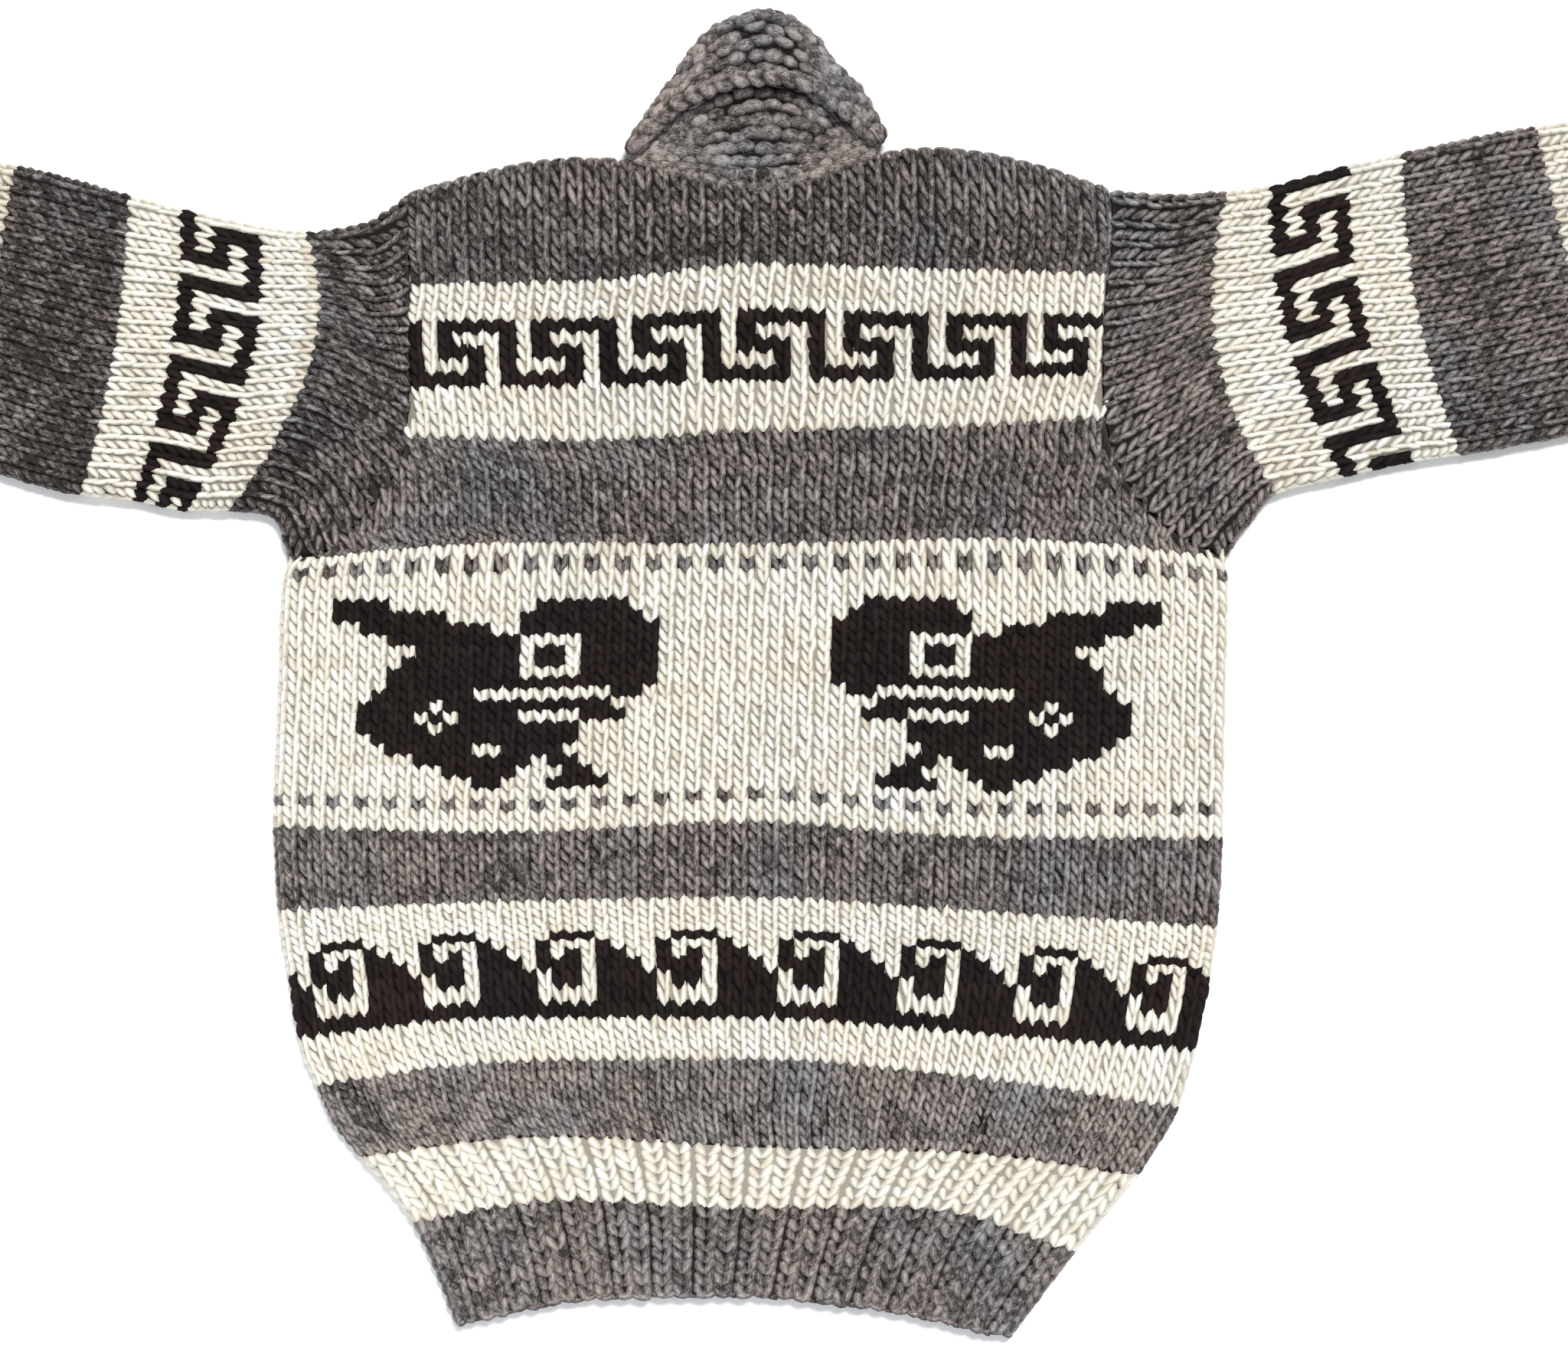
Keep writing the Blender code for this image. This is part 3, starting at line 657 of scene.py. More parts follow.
EDGE_LOOP = Strand(((-0.56, -0.40), (-0.32, 0.02), (0.0, 0.14), (0.32, 0.02), (0.56, -0.40)),
                   (1.5, 2.0, 2.2, 2.0, 1.5), (-1.2, 0.4, 0.7, 0.4, -1.2))
CAST_ON = Strand(((-0.62, 0.30), (-0.26, 0.12), (0.05, 0.05), (0.36, 0.10), (0.70, 0.34)),
                 (1.3, 2.2, 2.5, 2.2, 1.3), (-1.4, 0.2, 0.6, 0.2, -1.4))
LIP_OUT = Strand(((-0.50, 1.35), (-0.30, 1.12), (0.0, 0.75), (0.30, 0.40), (0.52, 0.05)),
                 (2.0, 3.3, 3.8, 3.3, 2.0), (-1.6, 0.8, 1.7, 0.7, -1.6), 7)
LIP_IN = Strand(((-0.50, 1.15), (-0.30, 1.35), (0.0, 1.60), (0.30, 1.85), (0.52, 2.10)),
                (2.0, 3.1, 3.6, 3.1, 2.0), (-1.6, 0.6, 1.4, 0.5, -1.6), 7)


@dataclass
class YarnMesh:
    """Strands gathered into one mesh, with the yarn's own map and tone.

    Attributes:
        verts: Vertex blocks in millimetres.
        faces: Face blocks.
        maps: Yarn map blocks, one pair per corner.
        tones: Tone blocks, one per vertex.
        depths: Painted shade blocks, one per vertex, 0 (darkest) at the sides and 1 on the crown.
        own: Blocks of strand number and place on the strand, one row per corner.
        count: Vertices so far.
        cells: Strands so far.
    """

    verts: list[np.ndarray] = field(default_factory=list)
    faces: list[np.ndarray] = field(default_factory=list)
    maps: list[np.ndarray] = field(default_factory=list)
    tones: list[np.ndarray] = field(default_factory=list)
    depths: list[np.ndarray] = field(default_factory=list)
    own: list[np.ndarray] = field(default_factory=list)
    count: int = 0
    cells: int = 0

    def add(self, path: np.ndarray, normal: np.ndarray, width: np.ndarray, top: np.ndarray,
            around: int, floor: float, tone: np.ndarray, offset: np.ndarray) -> None:
        """Add plump half-round strands; each ring is the half ellipse that stands on the path's floor height.

        Args:
            path: Centre lines, strands by rings by three, on the panel's face.
            normal: Unit normals there.
            width: Half widths, strands by rings.
            top: Crown heights, strands by rings.
            around: Points across.
            floor: Height of the strands' sides.
            tone: Tone of each strand.
            offset: Shift of each strand's map, strands by two.
        """
        n, rings = path.shape[:2]
        tangent = np.gradient(path, axis=1)
        side = np.cross(tangent, normal)
        side /= np.maximum(np.linalg.norm(side, axis=-1, keepdims=True), TINY)
        spread, crown, fall = (np.array(row) for row in PROFILES[around])
        lift = floor + (top[..., None] - floor) * crown
        verts = (path[:, :, None] + side[:, :, None] * (width[..., None] * spread)[..., None]
                 + normal[:, :, None] * lift[..., None])
        i, j = np.meshgrid(np.arange(rings - 1), np.arange(around - 1), indexing="ij")
        i, j = i.ravel(), j.ravel()
        corner = i * around + j
        quad = np.stack([corner + around, corner + around + 1, corner + 1, corner], 1)
        faces = self.count + quad[None] + (np.arange(n) * rings * around)[:, None, None]
        length = np.linalg.norm(np.diff(path, axis=1), axis=-1).sum(axis=1)
        ring = np.stack(np.meshgrid(np.linspace(0, 1, rings), np.linspace(0, 1, around), indexing="ij"), -1)
        local = ring.reshape(-1, 2)[quad]
        maps = np.empty((n,) + local.shape)
        girth = MAP_GIRTH * width.max(axis=1)
        maps[..., 0] = local[None, ..., 1] * girth[:, None, None] + offset[:, 0, None, None]
        maps[..., 1] = local[None, ..., 0] * length[:, None, None] + offset[:, 1, None, None]
        own = np.empty((n,) + local.shape[:2] + (3,))
        own[..., 0] = self.cells + np.arange(n)[:, None, None]
        own[..., 1:] = local[None]
        self.own.append(own.reshape(-1, 3))
        # painted shade: the sides of each strand, and strands that lie low, are made darker in the material
        depth = np.broadcast_to(fall, lift.shape) * np.clip(1 + top[..., None] * VALLEY_GAIN, 0.15, 1)
        self.verts.append(verts.reshape(-1, 3))
        self.faces.append(faces.reshape(-1, 4))
        self.maps.append(maps.reshape(-1, 2))
        self.tones.append(np.repeat(tone, rings * around))
        self.depths.append(depth.reshape(-1))
        self.count += n * rings * around
        self.cells += n

    def lay(self, surface: Surface, strand: Strand, wale: np.ndarray, row: np.ndarray,
            rng: np.random.Generator, wander: float = 1.0, scale: float = 1.0,
            tone: np.ndarray | None = None, last: float = FREE) -> None:
        """Lay one strand at each given stitch, each a little different from its neighbours.

        Args:
            surface: Face of the panel.
            strand: Shape of the strand.
            wale: Middle of each stitch across.
            row: Foot of each stitch along.
            rng: Source of the small differences.
            wander: Size of the small differences.
            scale: Thickness against the strand's own.
            tone: Tone of each stitch, or None for chance alone.
            last: Row that no strand may pass.
        """
        n = len(wale)
        if n == 0:
            return
        shape = np.array(strand.path)
        push = rng.normal(0, 1, (5, n)) * np.array(WANDER)[:, None] * wander
        across, along, swell, lift, lean = push[..., None]
        w = wale[:, None] + shape[None, :, 0] * (1 + lean * 2) + across
        r = np.minimum(row[:, None] + shape[None, :, 1] + along, last)
        path, normal = surface.at(w, r)
        width = np.array(strand.width)[None] * (1 + swell) * scale
        top = np.array(strand.top)[None] + lift
        self.add(path, normal, width, top, strand.around, strand.floor,
                 rng.normal(0, STRAND_TONE, n) + (0 if tone is None else tone), rng.uniform(0, 400, (n, 2)))

    def hairs(self, surface: Surface, across: tuple[float, float], along: tuple[float, float], count: int,
              rng: np.random.Generator) -> None:
        """Lay fine loose fibres that stand a little off the yarn.

        Args:
            surface: Face of the panel.
            across: First and last wale.
            along: First and last row.
            count: Number of fibres.
            rng: Source of their places.
        """
        start = rng.uniform((across[0], along[0]), (across[1], along[1]), (count, 2))
        turn = rng.uniform(0, 2 * math.pi, count)
        bend = rng.normal(0, 1.1, count)
        length = rng.uniform(0.35, 0.95, count)
        t = np.linspace(0, 1, 4)[None]
        angle = turn[:, None] + bend[:, None] * t
        w = start[:, :1] + np.cos(angle) * t * length[:, None]
        r = start[:, 1:] + np.sin(angle) * t * length[:, None] * 1.3
        path, normal = surface.at(w, r)
        root, arch = rng.uniform(0.1, 0.7, count)[:, None], rng.uniform(0.3, 1.3, count)[:, None]
        height = root + arch * np.sin(t * 2.6)
        path = path + normal * height[..., None]
        width = np.full(w.shape, 0.06) * (1.1 - 0.7 * t)
        self.add(path, normal, width, width * 1.2, 3, 0.0, rng.normal(1.5, 1.0, count),
                 rng.uniform(0, 400, (count, 2)))

    def build(self, name: str, material: bpy.types.Material) -> bpy.types.Object | None:
        """Make the mesh object.

        Args:
            name: Name of the piece.
            material: Its wool.

        Returns:
            The object, or None when there is no strand.
        """
        if not self.verts:
            return None
        faces = np.concatenate(self.faces)
        cells = max(int(math.ceil(math.sqrt(self.cells))), 1)
        obj = make_mesh(name, np.concatenate(self.verts), faces, [material],
                        np.concatenate(self.maps), np.concatenate(self.tones), np.concatenate(self.depths))
        own = np.concatenate(self.own)
        cell = np.stack([own[:, 0] % cells, own[:, 0] // cells], 1)
        layer = obj.data.uv_layers.new(name="OFBake")
        layer.data.foreach_set("uv", ((cell + 0.1 + 0.8 * own[:, 1:]) / cells).astype(np.float32).ravel())
        obj.data.uv_layers.active = obj.data.uv_layers["Yarn"]
        LOG.debug("%s: %d strands, %d triangles", name, self.cells, 2 * len(faces))
        return obj


def make_mesh(name: str, verts: np.ndarray, faces: np.ndarray, materials: list[bpy.types.Material],
              maps: np.ndarray, tones: np.ndarray, depths: np.ndarray,
              slots: np.ndarray | None = None) -> bpy.types.Object:
    """Make one object of four-sided faces from whole arrays.

    Args:
        name: Name of the piece.
        verts: Vertices in millimetres.
        faces: Four vertex numbers a face.
        materials: Material slots.
        maps: Yarn map, one pair per corner.
        tones: Tone of each vertex.
        depths: Painted shade of each vertex, 0 darkest and 1 not shaded.
        slots: Material slot of each face.

    Returns:
        The new object, at the origin.
    """
    mesh = bpy.data.meshes.new(name)
    mesh.vertices.add(len(verts))
    mesh.vertices.foreach_set("co", (np.asarray(verts, np.float32) * MM).ravel())
    mesh.loops.add(faces.size)
    mesh.loops.foreach_set("vertex_index", faces.astype(np.int32).ravel())
    mesh.polygons.add(len(faces))
    mesh.polygons.foreach_set("loop_start", np.arange(0, faces.size, 4, dtype=np.int32))
    mesh.update(calc_edges=True)
    layer = mesh.uv_layers.new(name="Yarn")
    layer.data.foreach_set("uv", np.asarray(maps, np.float32).ravel())
    for label, values in (("tone", tones), ("depth", depths)):
        values = np.asarray(values, np.float32)
        mesh.attributes.new(label, "FLOAT", "POINT").data.foreach_set("value", values)
    for material in materials:
        mesh.materials.append(material)
    if slots is not None:
        mesh.polygons.foreach_set("material_index", slots.astype(np.int32))
    mesh.shade_smooth()
    obj = bpy.data.objects.new(name, mesh)
    bpy.context.scene.collection.objects.link(obj)
    return obj


def shell(name: str, outer: np.ndarray, inner: np.ndarray, wools: "WoolSet", yarn: np.ndarray,
          ring: bool = False) -> bpy.types.Object:
    """Thin closed cloth between two grids of points, coloured face by face.

    Args:
        name: Name of the piece.
        outer: Outer face, rows by columns by three.
        inner: Inner face, same shape.
        wools: The garment's wools.
        yarn: Yarn of each outer face.
        ring: Whether the last column joins the first.

    Returns:
        The shell object.
    """
    rows, cols = outer.shape[:2]
    i, j = np.meshgrid(np.arange(rows - 1), np.arange(cols if ring else cols - 1), indexing="ij")
    k = (j + 1) % cols
    face = np.stack([i * cols + j, i * cols + k, (i + 1) * cols + k, (i + 1) * cols + j], -1).reshape(-1, 4)
    n, flat = rows * cols, yarn.ravel()
    parts, colour = [face, face[:, ::-1] + n], [flat, flat]
    edge = [np.arange(cols), (rows - 1) * cols + np.arange(cols)[::-1]]
    if ring:
        edge = [np.r_[line, line[0]] for line in edge]
    else:
        edge += [np.arange(rows) * cols + cols - 1, np.arange(rows)[::-1] * cols]
    for line in edge:
        a, b = line[:-1], line[1:]
        parts.append(np.stack([b, a, a + n, b + n], 1))
        colour.append(np.full(len(a), np.bincount(flat.astype(int)).argmax()))
    faces = np.concatenate(parts)
    verts = np.concatenate([outer.reshape(-1, 3), inner.reshape(-1, 3)])
    maps = verts[faces][..., :2].reshape(-1, 2)
    # painted shade: the shell shows only in the gaps between strands, so it takes the darkest tone and full
    # valley shade
    return make_mesh(name, verts, faces, wools.list(), maps, np.full(len(verts), SHELL_SHADE_TONE),
                     np.zeros(len(verts)), np.concatenate(colour))


def chart_rows(chart: tuple[str, ...]) -> np.ndarray:
    """Charted motif as yarns, lowest row first.

    Args:
        chart: Rows from the top down; # is dark, anything else cream.

    Returns:
        Yarn numbers.
    """
    grid = np.array([[Yarn.DARK if c == "#" else Yarn.CREAM for c in row] for row in chart])
    return grid[::-1]


def colour_chart(bands: tuple, columns: int, first: int = 0, birds: bool = False) -> np.ndarray:
    """Yarn of every stitch of a panel.

    Args:
        bands: Band table of the panel.
        columns: Wales across the panel.
        first: Wales at either side that lie outside the panel where the key is knitted.
        birds: Whether the field carries the pair of birds.

    Returns:
        Rows by columns of yarn numbers.
    """
    out = []
    place = np.arange(columns)
    for kind, _, _, count in bands:
        block = np.full((count, columns), Yarn.GREY if kind is Band.GREY else Yarn.CREAM)
        if kind is Band.WAVE:
            block = chart_rows(WAVE)[:, (place - WAVE_START) % len(WAVE[0])]
        elif kind is Band.KEY:
            block = chart_rows(KEY)[:, (place - first - KEY_START) % len(KEY[0])]
        elif kind is Band.FIELD:
            block[2, 0::2] = block[-2, 1::2] = Yarn.GREY
            if birds:
                bird = chart_rows(BIRD)
                high, wide = bird.shape
                for start, drawn in zip(BIRD_STARTS, (bird, bird[:, ::-1])):
                    block[BIRD_FOOT:BIRD_FOOT + high, start:start + wide] = drawn
        out.append(block)
    return np.concatenate(out)


# ---------------------------------------------------------------- materials


def fill_inputs(tree: bpy.types.NodeTree, node: bpy.types.Node, inputs: dict) -> None:
    """Set or link the inputs of a node.

    Args:
        tree: Node tree of the node.
        node: The node.
        inputs: A plain value or another node's socket, by the input's name or number.
    """
    for key, value in inputs.items():
        if isinstance(value, bpy.types.NodeSocket):
            tree.links.new(value, node.inputs[key])
        else:
            node.inputs[key].default_value = value


def add_node(tree: bpy.types.NodeTree, kind: str, inputs: dict, **options: str) -> bpy.types.Node:
    """Add a shader node.

    Args:
        tree: Node tree to add to.
        kind: Type of the node, without its first words.
        inputs: A plain value or another node's socket, by the input's name or number.
        **options: The node's own settings.

    Returns:
        The node.
    """
    node = tree.nodes.new("ShaderNode" + kind)
    for option, value in options.items():
        setattr(node, option, value)
    fill_inputs(tree, node, inputs)
    return node


@dataclass(frozen=True)
class Wool:
    """One undyed wool: plump, softly twisted and a little hairy.

    Attributes:
        name: Name of the material.
        dark: Linear colour of its darkest fibres.
        light: Linear colour of its lightest fibres.
        cool: Linear colour that the lightest fibres turn to in large random patches, a painted cool shade.
        fibre: Strength of the streaks along the yarn.
        heather: Strength of the mixed-in lighter and darker wool.
        shade: Brightness left by the painted shade in the valleys between strands.
        sheen: Amount of soft sheen.
        bump: Depth of the fibres, metres.
    """

    name: str
    dark: tuple[float, float, float]
    light: tuple[float, float, float]
    cool: tuple[float, float, float]
    fibre: float
    heather: float
    shade: float
    sheen: float
    bump: float

    def build(self) -> bpy.types.Material:
        """Make the node material.

        The colour runs from dark to light by 0.5 + fibre (streak - 0.5) + heather (noise - 0.5) + gain tone,
        cut to 0 to 1; in large random patches its light end takes a painted cool shade, and the colour is
        dimmed by painted shade in the valleys between strands.

        Returns:
            The material.
        """
        material = bpy.data.materials.new(self.name)
        material.use_nodes = True
        tree = material.node_tree
        place = tree.nodes.new("ShaderNodeTexCoord").outputs["Object"]
        uv = tree.nodes.new("ShaderNodeUVMap")
        uv.uv_map = "Yarn"
        turn = add_node(tree, "Mapping", {"Vector": uv.outputs[0], "Rotation": (0, 0, math.radians(24)),
                                          "Scale": (1.5, 0.24, 1)})
        streak = add_node(tree, "TexNoise", {"Vector": turn.outputs[0], "Scale": 1.6, "Detail": 2.5,
                                             "Roughness": 0.65}).outputs["Fac"]
        mixed = add_node(tree, "TexNoise", {"Vector": place, "Scale": 260.0, "Detail": 3.0}).outputs["Fac"]
        patch = add_node(tree, "TexNoise", {"Vector": place, "Scale": 17.0, "Detail": 3.0}).outputs["Fac"]
        tone, depth = (self._attribute(tree, label) for label in ("tone", "depth"))
        total: bpy.types.NodeSocket | float = 0.5 - 0.5 * self.fibre - 0.5 * self.heather
        for source, gain in ((streak, self.fibre), (mixed, self.heather), (tone, TONE_GAIN)):
            step = add_node(tree, "Math", {0: source, 1: gain, 2: total}, operation="MULTIPLY_ADD")
            total = step.outputs[0]
        step.use_clamp = True
        # painted cool shade: in large random patches the light end of the colour turns cool
        spread = add_node(tree, "MapRange", {"Value": patch, "From Min": 0.42, "From Max": 0.66})
        cast = add_node(tree, "Mix", {"Factor": spread.outputs["Result"], "A": self.light + (1.0,),
                                      "B": self.cool + (1.0,)}, data_type="RGBA")
        colour = add_node(tree, "Mix", {"Factor": total, "A": self.dark + (1.0,),
                                        "B": cast.outputs["Result"]}, data_type="RGBA")
        # painted shade: the colour is dimmed towards the shade value in the valleys between strands
        shade = add_node(tree, "MapRange", {"Value": depth, "To Min": self.shade, "To Max": 1.0})
        deep = add_node(tree, "Mix", {"Factor": 1.0, "A": colour.outputs["Result"],
                                      "B": shade.outputs["Result"]}, data_type="RGBA", blend_type="MULTIPLY")
        bump = add_node(tree, "Bump", {"Strength": 0.8, "Distance": self.bump, "Height": streak})
        tint = tuple(min(c * 1.6 + 0.05, 1.0) for c in self.light)
        fill_inputs(tree, tree.nodes["Principled BSDF"], {
            "Base Color": deep.outputs["Result"], "Normal": bump.outputs["Normal"], "Roughness": 0.92,
            "Specular IOR Level": 0.18, "Sheen Weight": self.sheen, "Sheen Roughness": 0.55,
            "Sheen Tint": tint + (1.0,)})
        return material

    @staticmethod
    def _attribute(tree: bpy.types.NodeTree, label: str) -> bpy.types.NodeSocket:
        """Value of a vertex attribute.

        Args:
            tree: Node tree to add to.
            label: Name of the attribute.

        Returns:
            The socket that carries it.
        """
        node = tree.nodes.new("ShaderNodeAttribute")
        node.attribute_name = label
        return node.outputs["Fac"]


@dataclass
class WoolSet:
    """The three wools as materials.

    Attributes:
        wools: Finishes in the order of Yarn.
    """

    wools: tuple[Wool, Wool, Wool]
    made: list[bpy.types.Material] = field(default_factory=list)

    def list(self) -> list[bpy.types.Material]:
        """Materials in the order of Yarn, made once.

        Returns:
            The three materials.
        """
        if not self.made:
            self.made = [wool.build() for wool in self.wools]
        return self.made


# the third colour of each wool is the painted cool shade of its light end
GREY_WOOL = Wool("wool_grey_heather", (0.020, 0.016, 0.015), (0.410, 0.351, 0.326), (0.345, 0.339, 0.353),
                 2.9, 1.7, 0.05, 0.22, 0.0007)
CREAM_WOOL = Wool("wool_cream", (0.60, 0.545, 0.44), (0.93, 0.89, 0.80), (0.86, 0.87, 0.86),
                  1.3, 0.9, 0.44, 0.15, 0.0006)
DARK_WOOL = Wool("wool_dark_brown", (0.003, 0.002, 0.002), (0.027, 0.0145, 0.013), (0.019, 0.0135, 0.0135),
                 1.6, 1.2, 0.25, 0.04, 0.0007)


# ---------------------------------------------------------------- panels


@dataclass
class Panel:
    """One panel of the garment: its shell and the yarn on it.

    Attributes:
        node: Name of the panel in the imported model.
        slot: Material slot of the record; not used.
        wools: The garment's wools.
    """

    node: str
    slot: str
    wools: WoolSet
    pieces: list[bpy.types.Object] = field(default_factory=list)
    shell: bpy.types.Object | None = None

    def claim(self, obj: bpy.types.Object | None, cloth: bool = False) -> None:
        """Put a piece of the panel into the frame.

        Args:
            obj: The piece.
            cloth: Whether it is the shell that stands for the panel.
        """
        if obj is None:
            return
        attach(obj, "root")
        if cloth:
            self.shell = obj
            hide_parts(self.node)
        else:
            self.pieces.append(obj)

    def lay_shell(self, surface: Surface, wale: np.ndarray, row: np.ndarray, yarn: np.ndarray,
                  ring: bool = False) -> None:
        """Make the thin cloth under the yarn.

        Args:
            surface: Face of the panel.
            wale: Wales of the grid.
            row: Rows of the grid.
            yarn: Yarn of each face.
            ring: Whether the last column joins the first.
        """
        point, normal = surface.at(wale, row)
        self.claim(shell(self.node + "_cloth", point + normal * SHELL_TOP, point + normal * SHELL_LOW,
                         self.wools, yarn, ring), True)

    def claim_yarn(self, mesh: "YarnMesh", tag: str, kind: Yarn = Yarn.GREY) -> None:
        """Put gathered strands into the frame.

        Args:
            mesh: The strands.
            tag: Addition to the panel's name.
            kind: Their wool.
        """
        self.claim(mesh.build(f"{self.node}_{tag}", self.wools.list()[kind]))

    def yarns(self, surface: Surface, strands: tuple[Strand, ...], wale: np.ndarray, row: np.ndarray,
              yarn: np.ndarray, rng: np.random.Generator, tag: str = "", scale: float = 1.0,
              last: float = FREE, bias: Tones = ((0, 1), (0, 0))) -> None:
        """Lay the strands of many stitches, one piece for each yarn.

        Args:
            surface: Face of the panel.
            strands: Strands of every stitch.
            wale: Middle of each stitch across.
            row: Foot of each stitch along.
            yarn: Yarn of each stitch.
            rng: Source of the small differences.
            tag: Addition to the piece's name.
            scale: Thickness against the strands' own.
            last: Row that no strand may pass.
            bias: Rows and how much darker or lighter the colour is made at each.
        """
        spots = rng.normal(0, PATCH_TONE, (int(row.max(initial=0)) + 2, 40))
        spread = (wale - wale.min(initial=0)) / PATCH_WALES
        k, line = np.clip(spread.astype(int), 0, 38), row.astype(int)
        # painted shade: strands in the troughs of the soft folds are darkened, more the deeper the trough
        tone = (spots[line, k] * (1 - spread + k) + spots[line, k + 1] * (spread - k) + np.interp(row, *bias)
                + CREASE_SHADE * np.minimum(relief(surface.at(wale, row + 0.5)[0][:, :2]), 0))
        for kind in Yarn:
            mesh = YarnMesh()
            mine = yarn == kind
            plump = scale * (1.16 if kind is Yarn.DARK else 1.0)
            for strand in strands:
                mesh.lay(surface, strand, wale[mine], row[mine], rng, scale=plump, tone=tone[mine], last=last)
            self.claim_yarn(mesh, kind.name.lower() + tag, kind)


@dataclass
class BodyPanel(Panel):
    """Back or front, in stocking stitch, or the ribbing below it.

    Attributes:
        upper: Whether it is the layer on top.
        ribbed: Whether it is ribbing.
        side: 0 for the whole width, -1 or 1 for the left or right front.
    """

    upper: bool = True
    ribbed: bool = False
    side: int = 0

    def build(self) -> None:
        """Make the shell and the yarn."""
        rng = np.random.default_rng(SEED + len(self.node) + 7 * self.side)
        surface = body_surface(self.ribbed, self.upper)
        bands, half = (RIB_BANDS, RIB_HALF) if self.ribbed else (BODY_BANDS, BODY_HALF)
        count = row_count(bands)
        chart = colour_chart(bands, 2 * half, first=11, birds=self.upper)
        self._shell(surface, bands, count, half, chart)
        wale, row = np.meshgrid(np.arange(2 * half) - half + 0.5, np.arange(count))
        wale, row, yarn = wale.ravel(), row.ravel().astype(float), chart.ravel()
        limit = half if self.ribbed else np.interp(row_courses(bands, row + 0.6), *HALF_WALES)
        keep = np.abs(wale) + 0.2 < limit + 0.02
        if self.side:
            keep &= wale * self.side > 0
            keep &= self._inside_v(surface, wale, row)
        wale, row, yarn = wale[keep], row[keep], yarn[keep]
        strands = (RIB_LEFT, RIB_RIGHT, PURL_BUMP) if self.ribbed else (LEFT_LEG, RIGHT_LEG)
        if not self.upper:
            strands = tuple(strand.coarse() for strand in strands)
        if self.ribbed:
            purl = (wale - 0.5) % 3 == 2
            self.yarns(surface, strands[:2], wale[~purl], row[~purl], yarn[~purl], rng, last=count,
                       bias=RIB_TONES)
            self.yarns(surface, strands[2:], wale[purl], row[purl], yarn[purl], rng, "_purl")
        else:
            self.yarns(surface, strands, wale, row, yarn, rng, last=count - 0.02, bias=BODY_TONES)
        self._edge(surface, count, half, rng)
        if self.upper:
            self._fuzz(surface, bands, half, rng)

    def _fuzz(self, surface: Surface, bands: tuple, half: int, rng: np.random.Generator) -> None:
        """Loose fibres over the grey bands.

        Args:
            surface: Face of the panel.
            bands: Band table.
            half: Half the wales.
            rng: Source of their places.
        """
        first = 0
        mesh = YarnMesh()
        for kind, start, _, count in bands:
            reach = half - 0.6 if self.ribbed or start < UNDERARM else HALF_WALES[1][-1] - 0.3
            if kind is Band.GREY:
                along = (first + 0.2, first + count - 0.6)
                mesh.hairs(surface, (-reach, reach), along, 3 * int(reach * count), rng)
            first += count
        self.claim_yarn(mesh, "fuzz")

    def _edge(self, surface: Surface, count: int, half: int, rng: np.random.Generator) -> None:
        """Loops that close the shoulder line, or the cast-on braid along the hem.

        Args:
            surface: Face of the panel.
            count: Stitch rows.
            half: Half the wales.
            rng: Source of the small differences.
        """
        strand = CAST_ON if self.ribbed else EDGE_LOOP
        strand = strand if self.upper else strand.coarse()
        reach = half if self.ribbed else HALF_WALES[1][-1]
        wale = np.arange(-reach, reach) + 0.5
        row = np.full(len(wale), 0.02 if self.ribbed else count - 0.16)
        if self.side:
            keep = wale * self.side > 0
            if not self.ribbed:
                keep &= self._inside_v(surface, wale, row - 0.6)
            wale, row = wale[keep], row[keep]
        mesh = YarnMesh()
        mesh.lay(surface, strand, wale, row, rng)
        self.claim_yarn(mesh, "edge")

    def _inside_v(self, surface: Surface, wale: np.ndarray, row: np.ndarray) -> np.ndarray:
        """Whether stitches lie within the front's sloping neck edge.

        Args:
            surface: Face of the panel.
            wale: Places across.
            row: Places along.

        Returns:
            One flag a stitch.
        """
        point, _ = surface.at(wale, row + 0.5)
        return point[:, 0] * self.side > v_edge(self.side, point[:, 1]) * self.side + 2.5

    def _shell(self, surface: Surface, bands: tuple, count: int, half: int, chart: np.ndarray) -> None:
        """Fit the shell's grid to the panel and make the shell.

        Args:
            surface: Face of the panel.
            bands: Band table.
            count: Stitch rows.
            half: Half the wales.
            chart: Yarn of each stitch.
        """
        rows = np.linspace(0.05, count - 0.02, count + 1 if self.upper else count // 2)
        share = np.linspace(-1, 1, 2 * half + 1 if self.upper else half + 1)
        if self.side:
            share = np.sort(np.linspace(0, 1, half // 2 + 1) * self.side)
        limit = np.full(len(rows), float(half)) if self.ribbed else np.interp(
            row_courses(bands, rows), *HALF_WALES)
        w = share[None, :] * (limit[:, None] - 0.02)
        r = rows[:, None] + 0 * w
        if self.side:
            w = self._fit_v(surface, w, r, limit)
        column = np.clip(((w[:-1, :-1] + w[1:, 1:]) / 2 + half).astype(int), 0, 2 * half - 1)
        line = np.clip(((r[:-1, :-1] + r[1:, 1:]) / 2).astype(int), 0, count - 1)
        self.lay_shell(surface, w, r, chart[line, column])

